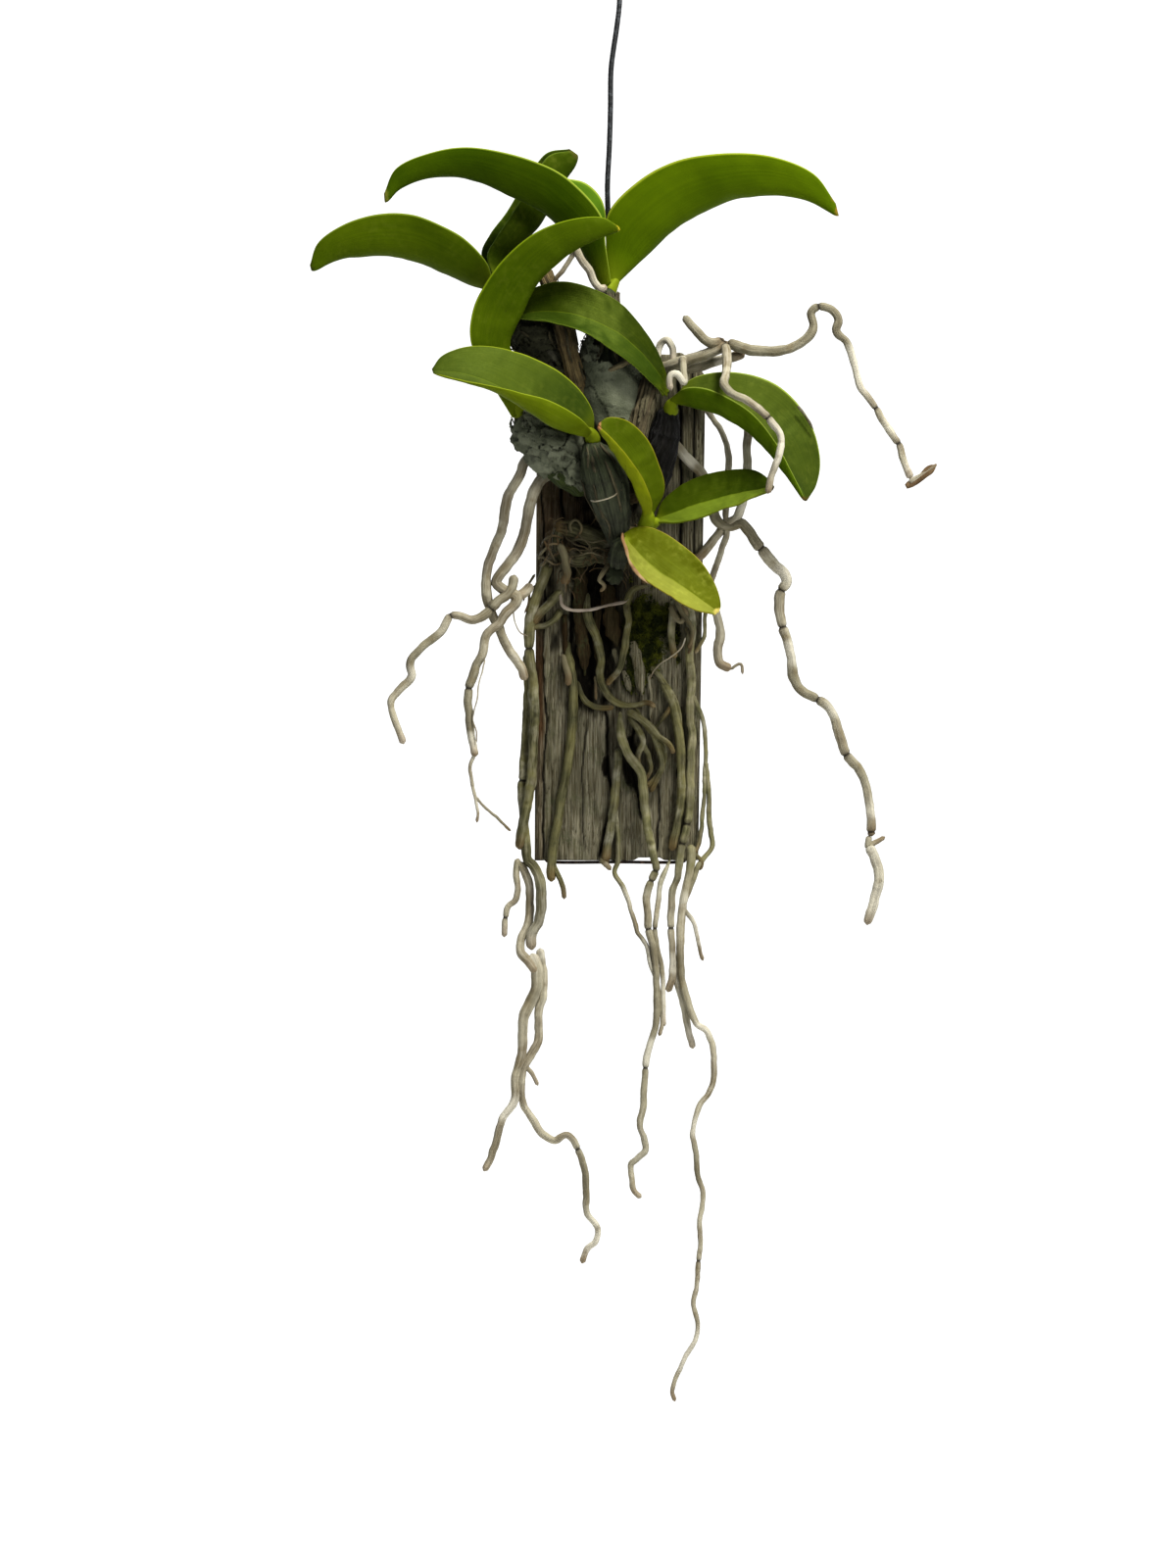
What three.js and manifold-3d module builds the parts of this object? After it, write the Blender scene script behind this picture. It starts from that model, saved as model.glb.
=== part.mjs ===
// A cattleya orchid grown on a weathered wooden slab that hangs from a black wire.
// Millimetres, +Z up, the plant faces -Y. Every piece is laid out from the middle of the
// slab's bottom edge, with the slab's front face at y = 0. The outer group then moves the
// origin to the inside of the hook, where the whole piece hangs.
import * as THREE from 'three';
import Module from 'manifold-3d';

const wasm = await Module();
wasm.setup();

// Driving dimensions
const SLAB_HEIGHT = 207;
const SLAB_THICKNESS = 22;
const SLAB_LEFT = { top: -33.6, bottom: -34.6 };
const SLAB_RIGHT = { top: 35.2, bottom: 32.2 };
const SLAB_COLUMNS = 24;
const SLAB_ROWS = 7;
const GROOVE_DEPTH = 1.5;
const DEEPEST_WEAR = 3.2;
const WORN_LEFT_EDGE = { share: 0.06, depth: 2.5 };
const WORN_RIGHT_EDGE = { share: 0.03, depth: 1.5 };
const ROUNDED_TOP_CORNER = { from: 0.86, drop: 9 };
const RAGGED_TOP = 1.6;
const BOTTOM_NOTCH = { from: 0.6, to: 0.8, height: 1.2 };
const WIRE_RADIUS = 1.1;
const HOOK_RADIUS = 9;
const HOOK_CENTER_HEIGHT = 371;
const HOOK_DEGREES = { from: 248, to: -50 };
const HOOK_STOPS = 10;
const STAPLE_RADIUS = 0.65;
const LEAF_THICKNESS = { keel: 2.2, margin: 1.1 };
const LEAF_ROWS = 8;
const LEAF_COLUMNS = [-1, -0.62, -0.28, 0, 0.28, 0.62, 1];
const FOLD_ROUNDNESS = 0.5;
const SHEATH_THICKNESS = 0.8;
const SHEATH_COLUMNS = 8;
const SHEATH_STEP = 4.5;
const TEAR = { degrees: 8, length: 3 };
const CLEARANCE = 0.3;
const ROOT_STEP = 9;
const ROOT_SIDES = 5;
const BULB_STEP = 8;
const BULB_SIDES = 10;
const ROD_SIDES = 6;
const WIRE_STEP = { hanger: 4.8, bottom: 4 };
const TIE_RADIUS = 0.75;
const TIE_STEP = 4;
const END_BLUNTNESS = 0.6;
const BEND_ROOM = 0.15;
const BEND_THINNING = 0.9;
const BEND_PASSES = 12;

const wireDepth = SLAB_THICKNESS / 2;
const hookInnerTop = HOOK_CENTER_HEIGHT + HOOK_RADIUS - WIRE_RADIUS;

const materials = {
  wire: { color: 0x17181a, roughness: 0.45, metalness: 0.3 },
  wood: { color: 0x756f60, roughness: 0.95, metalness: 0 },
  leaf: { color: 0x3d5510, roughness: 0.42, metalness: 0 },
  youngLeaf: { color: 0x7f8f20, roughness: 0.45, metalness: 0 },
  bulb: { color: 0x5a6048, roughness: 0.8, metalness: 0 },
  darkBulb: { color: 0x23241c, roughness: 0.5, metalness: 0 },
  cane: { color: 0x6f5a3c, roughness: 0.8, metalness: 0 },
  paper: { color: 0x8b8c80, roughness: 0.95, metalness: 0 },
  rhizome: { color: 0x2f3020, roughness: 0.95, metalness: 0 },
  root: { color: 0xa79f8b, roughness: 0.85, metalness: 0 },
  mossyRoot: { color: 0x6a6a4c, roughness: 0.9, metalness: 0 },
  tie: { color: 0xc2c0b4, roughness: 0.5, metalness: 0 },
};

// Seeded random numbers, so that the grain and the torn edges stay the same
function makeRandom(seed) {
  let state = seed;
  return () => {
    state = (state * 1664525 + 1013904223) % 4294967296;
    return state / 4294967296;
  };
}

function vector([x, y, z]) {
  return new THREE.Vector3(x, y, z);
}

function curveThrough(stops) {
  return new THREE.CatmullRomCurve3(stops.map(vector), false, 'centripetal');
}

// A closed solid from points and triangles, turned right side out
function makeSolid(points, faces) {
  let volume = 0;
  const cross = new THREE.Vector3();
  for (const [a, b, c] of faces) {
    volume += points[a].dot(cross.crossVectors(points[b], points[c]));
  }
  const outward = volume > 0 ? faces : faces.map(([a, b, c]) => [a, c, b]);
  return new wasm.Manifold(new wasm.Mesh({
    numProp: 3,
    vertProperties: Float32Array.from(points.flatMap((point) => point.toArray())),
    triVerts: Uint32Array.from(outward.flat()),
  }));
}

function joinAll(solids) {
  return solids.reduce((whole, next) => whole.add(next));
}

// The solid between two grids of points that match row by row
function sheetSolid(upper, lower) {
  const rows = upper.length;
  const columns = upper[0].length;
  const points = [...upper.flat(), ...lower.flat()];
  const top = (row, column) => row * columns + column;
  const bottom = (row, column) => rows * columns + top(row, column);
  const faces = [];
  for (let row = 0; row < rows - 1; row += 1) {
    for (let column = 0; column < columns - 1; column += 1) {
      const corners = [[row, column], [row + 1, column], [row + 1, column + 1], [row, column + 1]];
      const [a, b, c, d] = corners.map(([r, k]) => top(r, k));
      const [e, f, g, h] = corners.map(([r, k]) => bottom(r, k));
      faces.push([a, b, c], [a, c, d], [e, g, f], [e, h, g]);
    }
  }
  const rim = [];
  for (let row = 0; row < rows - 1; row += 1) rim.push([row, 0]);
  for (let column = 0; column < columns - 1; column += 1) rim.push([rows - 1, column]);
  for (let row = rows - 1; row > 0; row -= 1) rim.push([row, columns - 1]);
  for (let column = columns - 1; column > 0; column -= 1) rim.push([0, column]);
  rim.forEach(([row, column], index) => {
    const [nextRow, nextColumn] = rim[(index + 1) % rim.length];
    faces.push([top(row, column), bottom(row, column), bottom(nextRow, nextColumn)]);
    faces.push([top(row, column), bottom(nextRow, nextColumn), top(nextRow, nextColumn)]);
  });
  return makeSolid(points, faces);
}

// A station at every stop of a route, and between stops that lie more than a step apart,
// each with its radius and a frame that doesn't twist
function traceRoute(stops, step, grow) {
  const curve = curveThrough(stops);
  const places = [];
  for (let stop = 0; stop < stops.length - 1; stop += 1) {
    const parts = Math.ceil(vector(stops[stop]).distanceTo(vector(stops[stop + 1])) / step);
    for (let part = 0; part < parts; part += 1) places.push(stop + part / parts);
  }
  places.push(stops.length - 1);
  const stations = places.map((place) => {
    const before = Math.min(Math.floor(place), stops.length - 2);
    const radius = THREE.MathUtils.lerp(stops[before][3], stops[before + 1][3], place - before);
    const share = place / (stops.length - 1);
    return { center: curve.getPoint(share), tangent: curve.getTangent(share), radius: radius + grow };
  });
  const first = stations[0];
  const front = new THREE.Vector3(0, -1, 0);
  const upright = new THREE.Vector3(0, 0, 1);
  const guide = Math.abs(first.tangent.y) > 0.9 ? upright : front;
  first.facing = guide.clone().addScaledVector(first.tangent, -guide.dot(first.tangent)).normalize();
  for (let index = 1; index < stations.length; index += 1) {
    const turn = new THREE.Quaternion();
    turn.setFromUnitVectors(stations[index - 1].tangent, stations[index].tangent);
    stations[index].facing = stations[index - 1].facing.clone().applyQuaternion(turn);
  }
  return stations;
}

function ringPoint(station, angle, radius) {
  const side = new THREE.Vector3().crossVectors(station.tangent, station.facing);
  return station.center.clone()
    .addScaledVector(station.facing, radius * Math.cos(angle))
    .addScaledVector(side, radius * Math.sin(angle));
}

// Where a sharp bend would fold the tube's rings over each other, the tube gets thinner
function easeBends(stations, sides) {
  const along = new THREE.Vector3();
  for (let pass = 0; pass < BEND_PASSES; pass += 1) {
    for (let index = 1; index < stations.length; index += 1) {
      const before = stations[index - 1];
      const here = stations[index];
      const gap = here.center.distanceTo(before.center);
      const crowded = [...Array(sides).keys()].some((side) => {
        const angle = (2 * Math.PI * side) / sides;
        along.copy(ringPoint(here, angle, here.radius)).sub(ringPoint(before, angle, before.radius));
        const room = BEND_ROOM * gap;
        return along.dot(before.tangent) < room || along.dot(here.tangent) < room;
      });
      if (crowded) {
        before.radius *= BEND_THINNING;
        here.radius *= BEND_THINNING;
      }
    }
  }
}

// A round rod along a route of [x, y, z, radius] stops, with blunt ends and shallow ribs
function rodSolid(stops, { sides, step, ribs = 0, grow = 0 }) {
  const stations = traceRoute(stops, step, grow);
  easeBends(stations, sides);
  const points = [];
  const faces = [];
  stations.forEach((station) => {
    for (let side = 0; side < sides; side += 1) {
      const angle = (2 * Math.PI * side) / sides;
      const ribbed = station.radius * (1 + ribs * (side % 2 === 0 ? 1 : -1));
      points.push(ringPoint(station, angle, ribbed));
    }
  });
  for (let ring = 0; ring < stations.length - 1; ring += 1) {
    for (let side = 0; side < sides; side += 1) {
      const next = (side + 1) % sides;
      const [a, b] = [ring * sides + side, ring * sides + next];
      faces.push([a, a + sides, b], [b, a + sides, b + sides]);
    }
  }
  const first = stations[0];
  const last = stations[stations.length - 1];
  const lastRing = (stations.length - 1) * sides;
  const startPole = points.length;
  points.push(first.center.clone().addScaledVector(first.tangent, -END_BLUNTNESS * first.radius));
  points.push(last.center.clone().addScaledVector(last.tangent, END_BLUNTNESS * last.radius));
  for (let side = 0; side < sides; side += 1) {
    const next = (side + 1) % sides;
    faces.push([startPole, side, next], [startPole + 1, lastRing + next, lastRing + side]);
  }
  return makeSolid(points, faces);
}

// A root tapers evenly from one radius to another
function rootSolid({ from, to, stops }, grow) {
  const tapered = stops.map((stop, index) => {
    const share = index / (stops.length - 1);
    return [...stop, THREE.MathUtils.lerp(from, to, share)];
  });
  return rodSolid(tapered, { sides: ROOT_SIDES, step: ROOT_STEP, grow });
}

function rootBunch(roots) {
  return (grow) => joinAll(roots.map((root) => rootSolid(root, grow)));
}

// A leathery leaf folded along its keel. The near margin, the keel and the far margin are
// three curves from the base to the tip, and each half swings from the keel to its margin.
function leafSolid(leaf, grow) {
  const near = curveThrough(leaf.near);
  const keel = curveThrough(leaf.keel);
  const far = curveThrough(leaf.far);
  const middle = [];
  for (let row = 0; row <= LEAF_ROWS; row += 1) {
    const share = row / LEAF_ROWS;
    const [n, k, f] = [near, keel, far].map((curve) => curve.getPointAt(share));
    const halfWidth = n.clone().sub(f).multiplyScalar(0.5);
    middle.push(LEAF_COLUMNS.map((column) => {
      const reach = Math.abs(column);
      const margin = column < 0 ? n : f;
      const swing = column < 0 ? FOLD_ROUNDNESS : -FOLD_ROUNDNESS;
      const bend = k.clone().addScaledVector(halfWidth, swing);
      return k.clone().multiplyScalar((1 - reach) ** 2)
        .addScaledVector(bend, 2 * reach * (1 - reach))
        .addScaledVector(margin, reach ** 2);
    }));
  }
  return thicken(middle, grow);
}

// Both faces of a blade, half its thickness to each side of its middle surface
function thicken(middle, grow) {
  const lastRow = middle.length - 1;
  const lastColumn = middle[0].length - 1;
  const upper = [];
  const lower = [];
  middle.forEach((line, row) => {
    const upperLine = [];
    const lowerLine = [];
    line.forEach((point, column) => {
      const ahead = middle[Math.min(row + 1, lastRow)][column];
      const behind = middle[Math.max(row - 1, 0)][column];
      const right = line[Math.min(column + 1, lastColumn)];
      const left = line[Math.max(column - 1, 0)];
      const along = ahead.clone().sub(behind).normalize();
      const across = right.clone().sub(left).normalize();
      const normal = along.clone().cross(across).normalize();
      const reach = Math.abs(LEAF_COLUMNS[column]);
      const thickness = THREE.MathUtils.lerp(LEAF_THICKNESS.keel, LEAF_THICKNESS.margin, reach);
      const place = point.clone();
      if (column === 0) place.addScaledVector(across, -grow);
      if (column === lastColumn) place.addScaledVector(across, grow);
      if (row === 0) place.addScaledVector(along, -grow);
      if (row === lastRow) place.addScaledVector(along, grow);
      upperLine.push(place.clone().addScaledVector(normal, thickness / 2 + grow));
      lowerLine.push(place.clone().addScaledVector(normal, -thickness / 2 - grow));
    });
    upper.push(upperLine);
    lower.push(lowerLine);
  });
  return sheetSolid(upper, lower);
}

// Rises from 0 at the named share of a width to 1 at its edge
function towardsEdge(share, from) {
  return Math.max(0, share - from) / (1 - from);
}

// The plank: grain grooves run up its front, its left front edge is worn, its back is flat
function slabSolid(grow) {
  const random = makeRandom(11);
  const columns = [...Array(SLAB_COLUMNS + 1).keys()].map((index) => ({
    share: (index + (index % SLAB_COLUMNS === 0 ? 0 : 0.5 * (random() - 0.5))) / SLAB_COLUMNS,
    groove: index % 2 === 0 ? GROOVE_DEPTH * (0.3 + 0.7 * random()) : 0.25 * random(),
    phase: 6 * random(),
    topLoss: RAGGED_TOP * random(),
  }));
  const front = [];
  const back = [];
  for (let row = 0; row <= SLAB_ROWS; row += 1) {
    const share = row / SLAB_ROWS;
    const left = THREE.MathUtils.lerp(SLAB_LEFT.bottom, SLAB_LEFT.top, share) - grow;
    const right = THREE.MathUtils.lerp(SLAB_RIGHT.bottom, SLAB_RIGHT.top, share) + grow;
    const lines = columns.map((column) => {
      const x = THREE.MathUtils.lerp(left, right, column.share);
      const cornerDrop = ROUNDED_TOP_CORNER.drop * towardsEdge(column.share, ROUNDED_TOP_CORNER.from);
      const top = SLAB_HEIGHT - column.topLoss - cornerDrop + grow;
      const inNotch = column.share > BOTTOM_NOTCH.from && column.share < BOTTOM_NOTCH.to;
      const bottom = inNotch ? BOTTOM_NOTCH.height - grow : -grow;
      const z = THREE.MathUtils.lerp(bottom, top, share);
      const worn = WORN_LEFT_EDGE.depth * towardsEdge(1 - column.share, 1 - WORN_LEFT_EDGE.share)
        + WORN_RIGHT_EDGE.depth * towardsEdge(column.share, 1 - WORN_RIGHT_EDGE.share);
      const groove = column.groove * (0.7 + 0.3 * Math.sin(0.03 * z + column.phase));
      return [x, Math.min(worn + groove, DEEPEST_WEAR), z];
    });
    front.push(lines.map(([x, y, z]) => new THREE.Vector3(x, y - grow, z)));
    back.push(lines.map(([x, , z]) => new THREE.Vector3(x, SLAB_THICKNESS + grow, z)));
  }
  return sheetSolid(front, back);
}

// The stiff wire stands in a hole in the slab's top and ends in an open hook
function hangerStops() {
  const shank = [[-2, 196], [-2.5, 215], [-4.8, 265], [-4, 299], [-3.2, 323], [0, 351], [-0.4, 358]];
  const hook = [...Array(HOOK_STOPS).keys()].map((index) => {
    const degrees = THREE.MathUtils.lerp(HOOK_DEGREES.from, HOOK_DEGREES.to, index / (HOOK_STOPS - 1));
    const angle = THREE.MathUtils.degToRad(degrees);
    return [HOOK_RADIUS * Math.cos(angle), HOOK_CENTER_HEIGHT + HOOK_RADIUS * Math.sin(angle)];
  });
  return [...shank, ...hook].map(([x, z]) => [x, wireDepth, z, WIRE_RADIUS]);
}

const stapleStops = [
  [-30.5, 6, 7], [-30.5, 6, 2], [-29.6, 6, -0.6], [-27, 6, -1.1], [0, 6, -1.1],
  [24, 6, -1.1], [26.6, 6, -0.6], [27.5, 6, 2], [27.5, 6, 7],
].map((stop) => [...stop, STAPLE_RADIUS]);

// Creeping rhizome: stops are [x, y, z, radius]
const rhizomeStems = [
  [[-2, -6, 116, 3.6], [0, -8, 124, 4.2], [-1, -7.4, 134, 4.6], [-5, -5.4, 144, 5],
    [-8, -5, 154, 5], [-9, -5, 166, 5], [-8, -5, 178, 5], [-10, -5, 188, 4]],
  [[-1, -9, 127, 4], [-9, -9, 131, 4], [-18, -9, 134, 3.6], [-27, -8, 136, 3]],
  [[-1, -9, 122, 3.6], [-9, -8, 124, 3.4], [-17, -9, 122, 3], [-24, -7, 126, 2.6]],
  [[-1, -9, 131, 4], [5, -11, 132, 3.4], [9, -13, 131, 3]],
  [[-5, -6, 146, 4.4], [3, -7, 149, 4.4], [10, -10, 150, 4]],
  [[-24, -8, 136, 2.4], [-26, -9, 128, 1.8], [-22, -10, 118, 1.5], [-21, -10, 112, 1.2]],
];

const bulbs = {
  bulb_center_back: {
    look: 'bulb', ribs: 0.05,
    stops: [[-3, -9, 158, 5], [-3, -13, 168, 9], [-3, -14, 182, 11.2], [-2.6, -13.5, 198, 11.4],
      [-4, -13, 212, 9], [-5, -12.5, 223, 5.5], [-5.4, -11.6, 233, 3]],
  },
  bulb_left: {
    look: 'bulb', ribs: 0.05,
    stops: [[-12.6, -10, 149.6, 5], [-18.6, -13, 158, 8.6], [-26.4, -14.6, 168, 10.2],
      [-34, -14.6, 178, 9.2], [-39.4, -14.6, 185, 5.4]],
  },
  bulb_upper_left: {
    look: 'paper', ribs: 0.06,
    stops: [[-12, -8, 184, 4.5], [-18, -9, 190, 7.5], [-27, -10, 203, 9.2], [-37, -9, 215, 8.4],
      [-46, -7, 225, 5.6], [-52, -5.4, 233.4, 3.2]],
  },
  cane_brown: {
    look: 'cane', ribs: 0.03,
    stops: [[-14, -17, 184, 3.8], [-17.4, -20, 195, 4.2], [-20.4, -21, 206, 3.4],
      [-22.6, -19.6, 216, 4], [-26.6, -15.4, 229, 3.2], [-31, -11, 240, 3.4]],
  },
  bulb_dark: {
    look: 'darkBulb', ribs: 0.05,
    stops: [[12, -13, 147, 4], [14, -15, 156, 6.8], [16.5, -16, 167, 7.4], [19, -17, 177, 5.6],
      [19.8, -18, 184.5, 3]],
  },
  cane_tan: {
    look: 'cane', ribs: 0.06,
    stops: [[5, -21, 158, 2.6], [6.5, -25, 170, 3.8], [9.5, -23, 183, 4.2], [13, -19, 196, 3.4],
      [15, -15, 203, 2.4]],
  },
  bulb_front: {
    look: 'bulb', ribs: 0.06,
    stops: [[-1, -14, 129, 3.6], [-2, -21, 138, 6.2], [-5, -25, 150, 9], [-8, -26.5, 160, 8.2],
      [-11, -26.5, 168, 4], [-11.4, -26.5, 170.5, 3]],
  },
  bulb_small_right: {
    look: 'bulb', ribs: 0.04,
    stops: [[9, -13, 128, 2.8], [10.5, -18, 132, 3.8], [12.4, -24.2, 137.2, 2.8]],
  },
  bulb_small_front: {
    look: 'cane', ribs: 0.04,
    stops: [[-1, -12, 119, 2.8], [-0.6, -18, 122, 3.8], [0.2, -23.5, 127.4, 3.4], [1, -26, 130, 2.6]],
  },
  stub_cut: {
    look: 'bulb', ribs: 0,
    stops: [[-2, -10, 115.5, 3], [-2, -15, 115.5, 3.2], [-1.8, -19, 116, 3.1]],
  },
};

// Torn papery sheaths: the part of a bulb that each one wraps, in shares and degrees
const sheaths = {
  sheath_left: { bulb: 'bulb_left', start: 0.16, end: 0.94, from: -105, to: 95, seed: 5 },
  sheath_center: { bulb: 'bulb_center_back', start: 0.3, end: 0.72, from: -70, to: 80, seed: 8 },
};

// Leaves, each as the near margin, the keel and the far margin from the base to the tip
const leaves = {
  leaf_top_left: {
    look: 'leaf',
    near: [[-3.4, -15, 235], [-5.5, -20, 249], [-7, -22, 261], [-20.8, -22, 276.8], [-34.8, -22, 284],
      [-60.8, -21, 289.6], [-77, -20, 287.4], [-91, -18, 281], [-95.8, -16.6, 271]],
    keel: [[-6.4, -13.5, 232.6], [-11, -13, 241], [-20.8, -13, 254.8], [-32.8, -14, 264.8],
      [-42.8, -14, 270], [-59.6, -15, 277.6], [-76.8, -16, 278.2], [-90, -16, 273.4], [-95.4, -16, 267.4]],
    far: [[-8.4, -11, 235], [-6.6, -6, 250], [-5.6, -5, 263.6], [-8, -5, 270.6], [-14, -5, 276],
      [-23, -6, 278], [-40, -7, 283], [-60, -8, 287], [-77, -11, 285], [-91, -14, 279], [-95, -15, 270]],
  },
  leaf_top_right: {
    look: 'leaf',
    near: [[-4.6, -9.4, 235.4], [-5.4, -12, 249], [-4.8, -16, 262.6], [7.2, -19, 275.6], [23.2, -21, 284],
      [43.2, -21, 287.2], [63.2, -20, 285.6], [79.2, -18, 278.8], [88, -16.4, 267]],
    keel: [[-3, -9.2, 233.4], [1.2, -8, 238], [11.2, -8, 247.6], [27.2, -10, 260.8], [47.2, -12, 269.6],
      [63.2, -14, 271.6], [79.2, -15, 268], [89.2, -16, 262]],
    far: [[-4.4, -7, 235.6], [-3, -3, 249], [2, 0, 262], [10, 0, 273], [24, 0, 280], [43, -3, 284],
      [62, -7, 283], [78, -12, 277], [88.4, -15, 265]],
  },
  leaf_left: {
    look: 'leaf',
    near: [[-51.6, -8.4, 235.6], [-54, -14, 243], [-62.8, -18, 252.4], [-72.8, -19, 258], [-84.8, -19, 262.4],
      [-98.8, -19, 262.4], [-112.8, -18, 258], [-122.8, -16, 250.8], [-126, -14.4, 242]],
    keel: [[-53, -6.6, 233], [-62.8, -8, 235.6], [-70.8, -9, 239.8], [-84.8, -10, 245.2],
      [-98.8, -12, 246.8], [-114.8, -13, 244.8], [-125.4, -13.6, 239.8]],
    far: [[-54.4, -4.6, 236], [-62, -1, 247], [-73, 0, 254], [-85, 0, 259], [-99, -2, 259.4],
      [-112, -6, 255.4], [-122, -10, 249], [-125.6, -12.6, 241.6]],
  },
  leaf_back: {
    look: 'leaf',
    near: [[-50.6, -5.2, 235.6], [-54, -3, 246], [-50.8, -2, 253], [-44.8, 0, 262], [-34.8, 2, 278.8],
      [-28.8, 3, 287.4], [-19.4, 5, 289.6]],
    keel: [[-49.8, -3, 233.6], [-44.8, 2, 247.6], [-34.8, 5, 257], [-30.6, 6, 264], [-22.8, 7, 278],
      [-18.8, 7, 284], [-17.2, 6.6, 288]],
    far: [[-52, -1.6, 235.8], [-56.4, 5, 247.6], [-52.8, 8, 255.6], [-46, 10, 265], [-35.6, 11, 282],
      [-29.4, 10.4, 289], [-20.4, 8, 290.4]],
  },
  leaf_arch: {
    look: 'leaf',
    near: [[-43.6, -22, 179.6], [-50.8, -29, 191.6], [-60.4, -36, 210], [-59.4, -38, 222.8],
      [-54.8, -39, 232.8], [-46.8, -40, 243.6], [-34.8, -41, 253.6], [-20.8, -41, 259.2],
      [-7, -40, 260.2], [-0.4, -39.4, 256.6]],
    keel: [[-40.8, -20.4, 181.6], [-42, -24, 194], [-45.2, -28, 208.8], [-42.8, -30, 216.8],
      [-38, -32, 226.8], [-30.8, -34, 237.6], [-20.8, -36, 246.8], [-8, -38, 252.8], [0.2, -38.6, 255.4]],
    far: [[-44, -18.4, 180.8], [-51, -20, 192], [-58, -22, 210], [-57, -23, 222], [-53, -24.6, 232],
      [-45, -26, 242], [-34, -28, 251], [-20.8, -31, 257], [-7.4, -35, 259], [-0.4, -37.4, 256.4]],
  },
  leaf_lower_left: {
    look: 'leaf',
    near: [[-10.6, -30, 173.4], [-16.8, -40, 179.6], [-28.8, -47, 186], [-40.8, -50, 189],
      [-50.8, -51, 191.4], [-64.8, -50, 194], [-75.4, -47.4, 196.8]],
    keel: [[-12.4, -29, 172], [-24.8, -39, 175.6], [-36.8, -43, 183], [-50.8, -45, 191.8],
      [-62.8, -46, 196], [-75.6, -46.6, 197.6]],
    far: [[-10.4, -26.6, 174.4], [-10.6, -28, 181], [-14.8, -29, 189], [-22.8, -31, 196.8],
      [-34.8, -34, 203.4], [-48.8, -36, 207.6], [-60.8, -39, 208], [-72, -43, 204], [-76, -45.6, 198.6]],
  },
  leaf_center: {
    look: 'leaf',
    near: [[17.8, -22.6, 189], [15.2, -27, 191.6], [7.2, -33, 198.8], [-4.8, -36, 208],
      [-16.8, -35, 214.8], [-28.8, -30, 218.6], [-40.6, -26.6, 219.6]],
    keel: [[18.8, -19.8, 188.4], [17.2, -24, 194], [7.2, -28.6, 206], [-4.8, -30, 215.4],
      [-20.8, -29, 221.2], [-32.8, -26.6, 222.2], [-41, -25.8, 220.6]],
    far: [[20, -21, 190.4], [18.4, -22, 199.6], [14.4, -22, 208.8], [7.2, -22, 218.8],
      [-0.8, -22.6, 226.8], [-10.8, -23, 232], [-20.8, -23.4, 234.8], [-28.8, -23.6, 234.4],
      [-36.8, -24, 230.8], [-41.4, -25, 221.8]],
  },
  leaf_right: {
    look: 'leaf',
    near: [[20.8, -22.4, 187.6], [27, -29, 191.6], [35.2, -33, 191.2], [45.2, -35, 186.8],
      [55.2, -36, 179.6], [63.2, -36, 169.4], [71.4, -34, 154], [75, -32.6, 146.6]],
    keel: [[21.6, -20.4, 186.4], [31.2, -24, 184.6], [43.2, -26.6, 181.2], [53.2, -28, 174.8],
      [62.8, -29, 166], [68.6, -30, 157.6], [75.4, -31.8, 145.6]],
    far: [[22.6, -18.6, 188.2], [29, -17, 195.4], [41.2, -16, 198.4], [55.2, -16, 196.8],
      [67.2, -17, 190.8], [77.2, -19, 178.8], [81.6, -22, 162.8], [80, -26, 152.4], [76.2, -30.6, 146]],
  },
  leaf_small_center: {
    look: 'youngLeaf',
    near: [[12.6, -27, 138.4], [13.2, -33, 144.8], [9.2, -38, 154.8], [3.2, -41, 163.6],
      [-4, -42.6, 171.6], [-8.2, -42.4, 175.4]],
    keel: [[11, -26, 137.6], [9.4, -31, 144.8], [5.2, -35, 154.8], [-0.8, -38, 164.8],
      [-6.4, -41, 172.4], [-8.8, -41.6, 175.8]],
    far: [[13.2, -24.2, 139.4], [18.4, -27, 150.8], [16, -31, 160.8], [11.2, -34, 170.8],
      [3.2, -37, 178], [-4.8, -40, 179.2], [-8.6, -41, 176.8]],
  },
  leaf_small_right: {
    look: 'leaf',
    near: [[15, -25.6, 136.8], [27.2, -33, 137.2], [38.4, -36, 140.8], [51.2, -37, 145.6], [62, -36, 150]],
    keel: [[14.8, -23.8, 137.6], [24, -27, 141], [33.2, -29, 144], [49.2, -31.4, 148.2], [62.4, -35, 150.6]],
    far: [[15.2, -22.4, 138.8], [16.8, -21.6, 144.8], [23.2, -21.4, 150.8], [33.2, -22, 156],
      [45.2, -24, 158.4], [55.2, -27, 158], [60.6, -31, 154.4], [62.8, -34, 151.2]],
  },
  leaf_bottom: {
    look: 'youngLeaf',
    near: [[1.4, -29.4, 130.2], [3.2, -34, 122.8], [9.2, -39, 114], [19.2, -43, 108], [29.2, -44, 102],
      [38.6, -42, 99.2]],
    keel: [[2.2, -28.2, 131], [6, -31.6, 126], [13.2, -35, 118.8], [27.2, -38, 108.8], [39.4, -41, 100]],
    far: [[1.8, -26.8, 132.4], [6, -27, 135], [13.2, -28, 134.8], [23.2, -30, 129.6], [33.2, -33, 120.8],
      [39.2, -36, 110.8], [41, -39, 103], [40.2, -40.4, 100.4]],
  },
};

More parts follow.
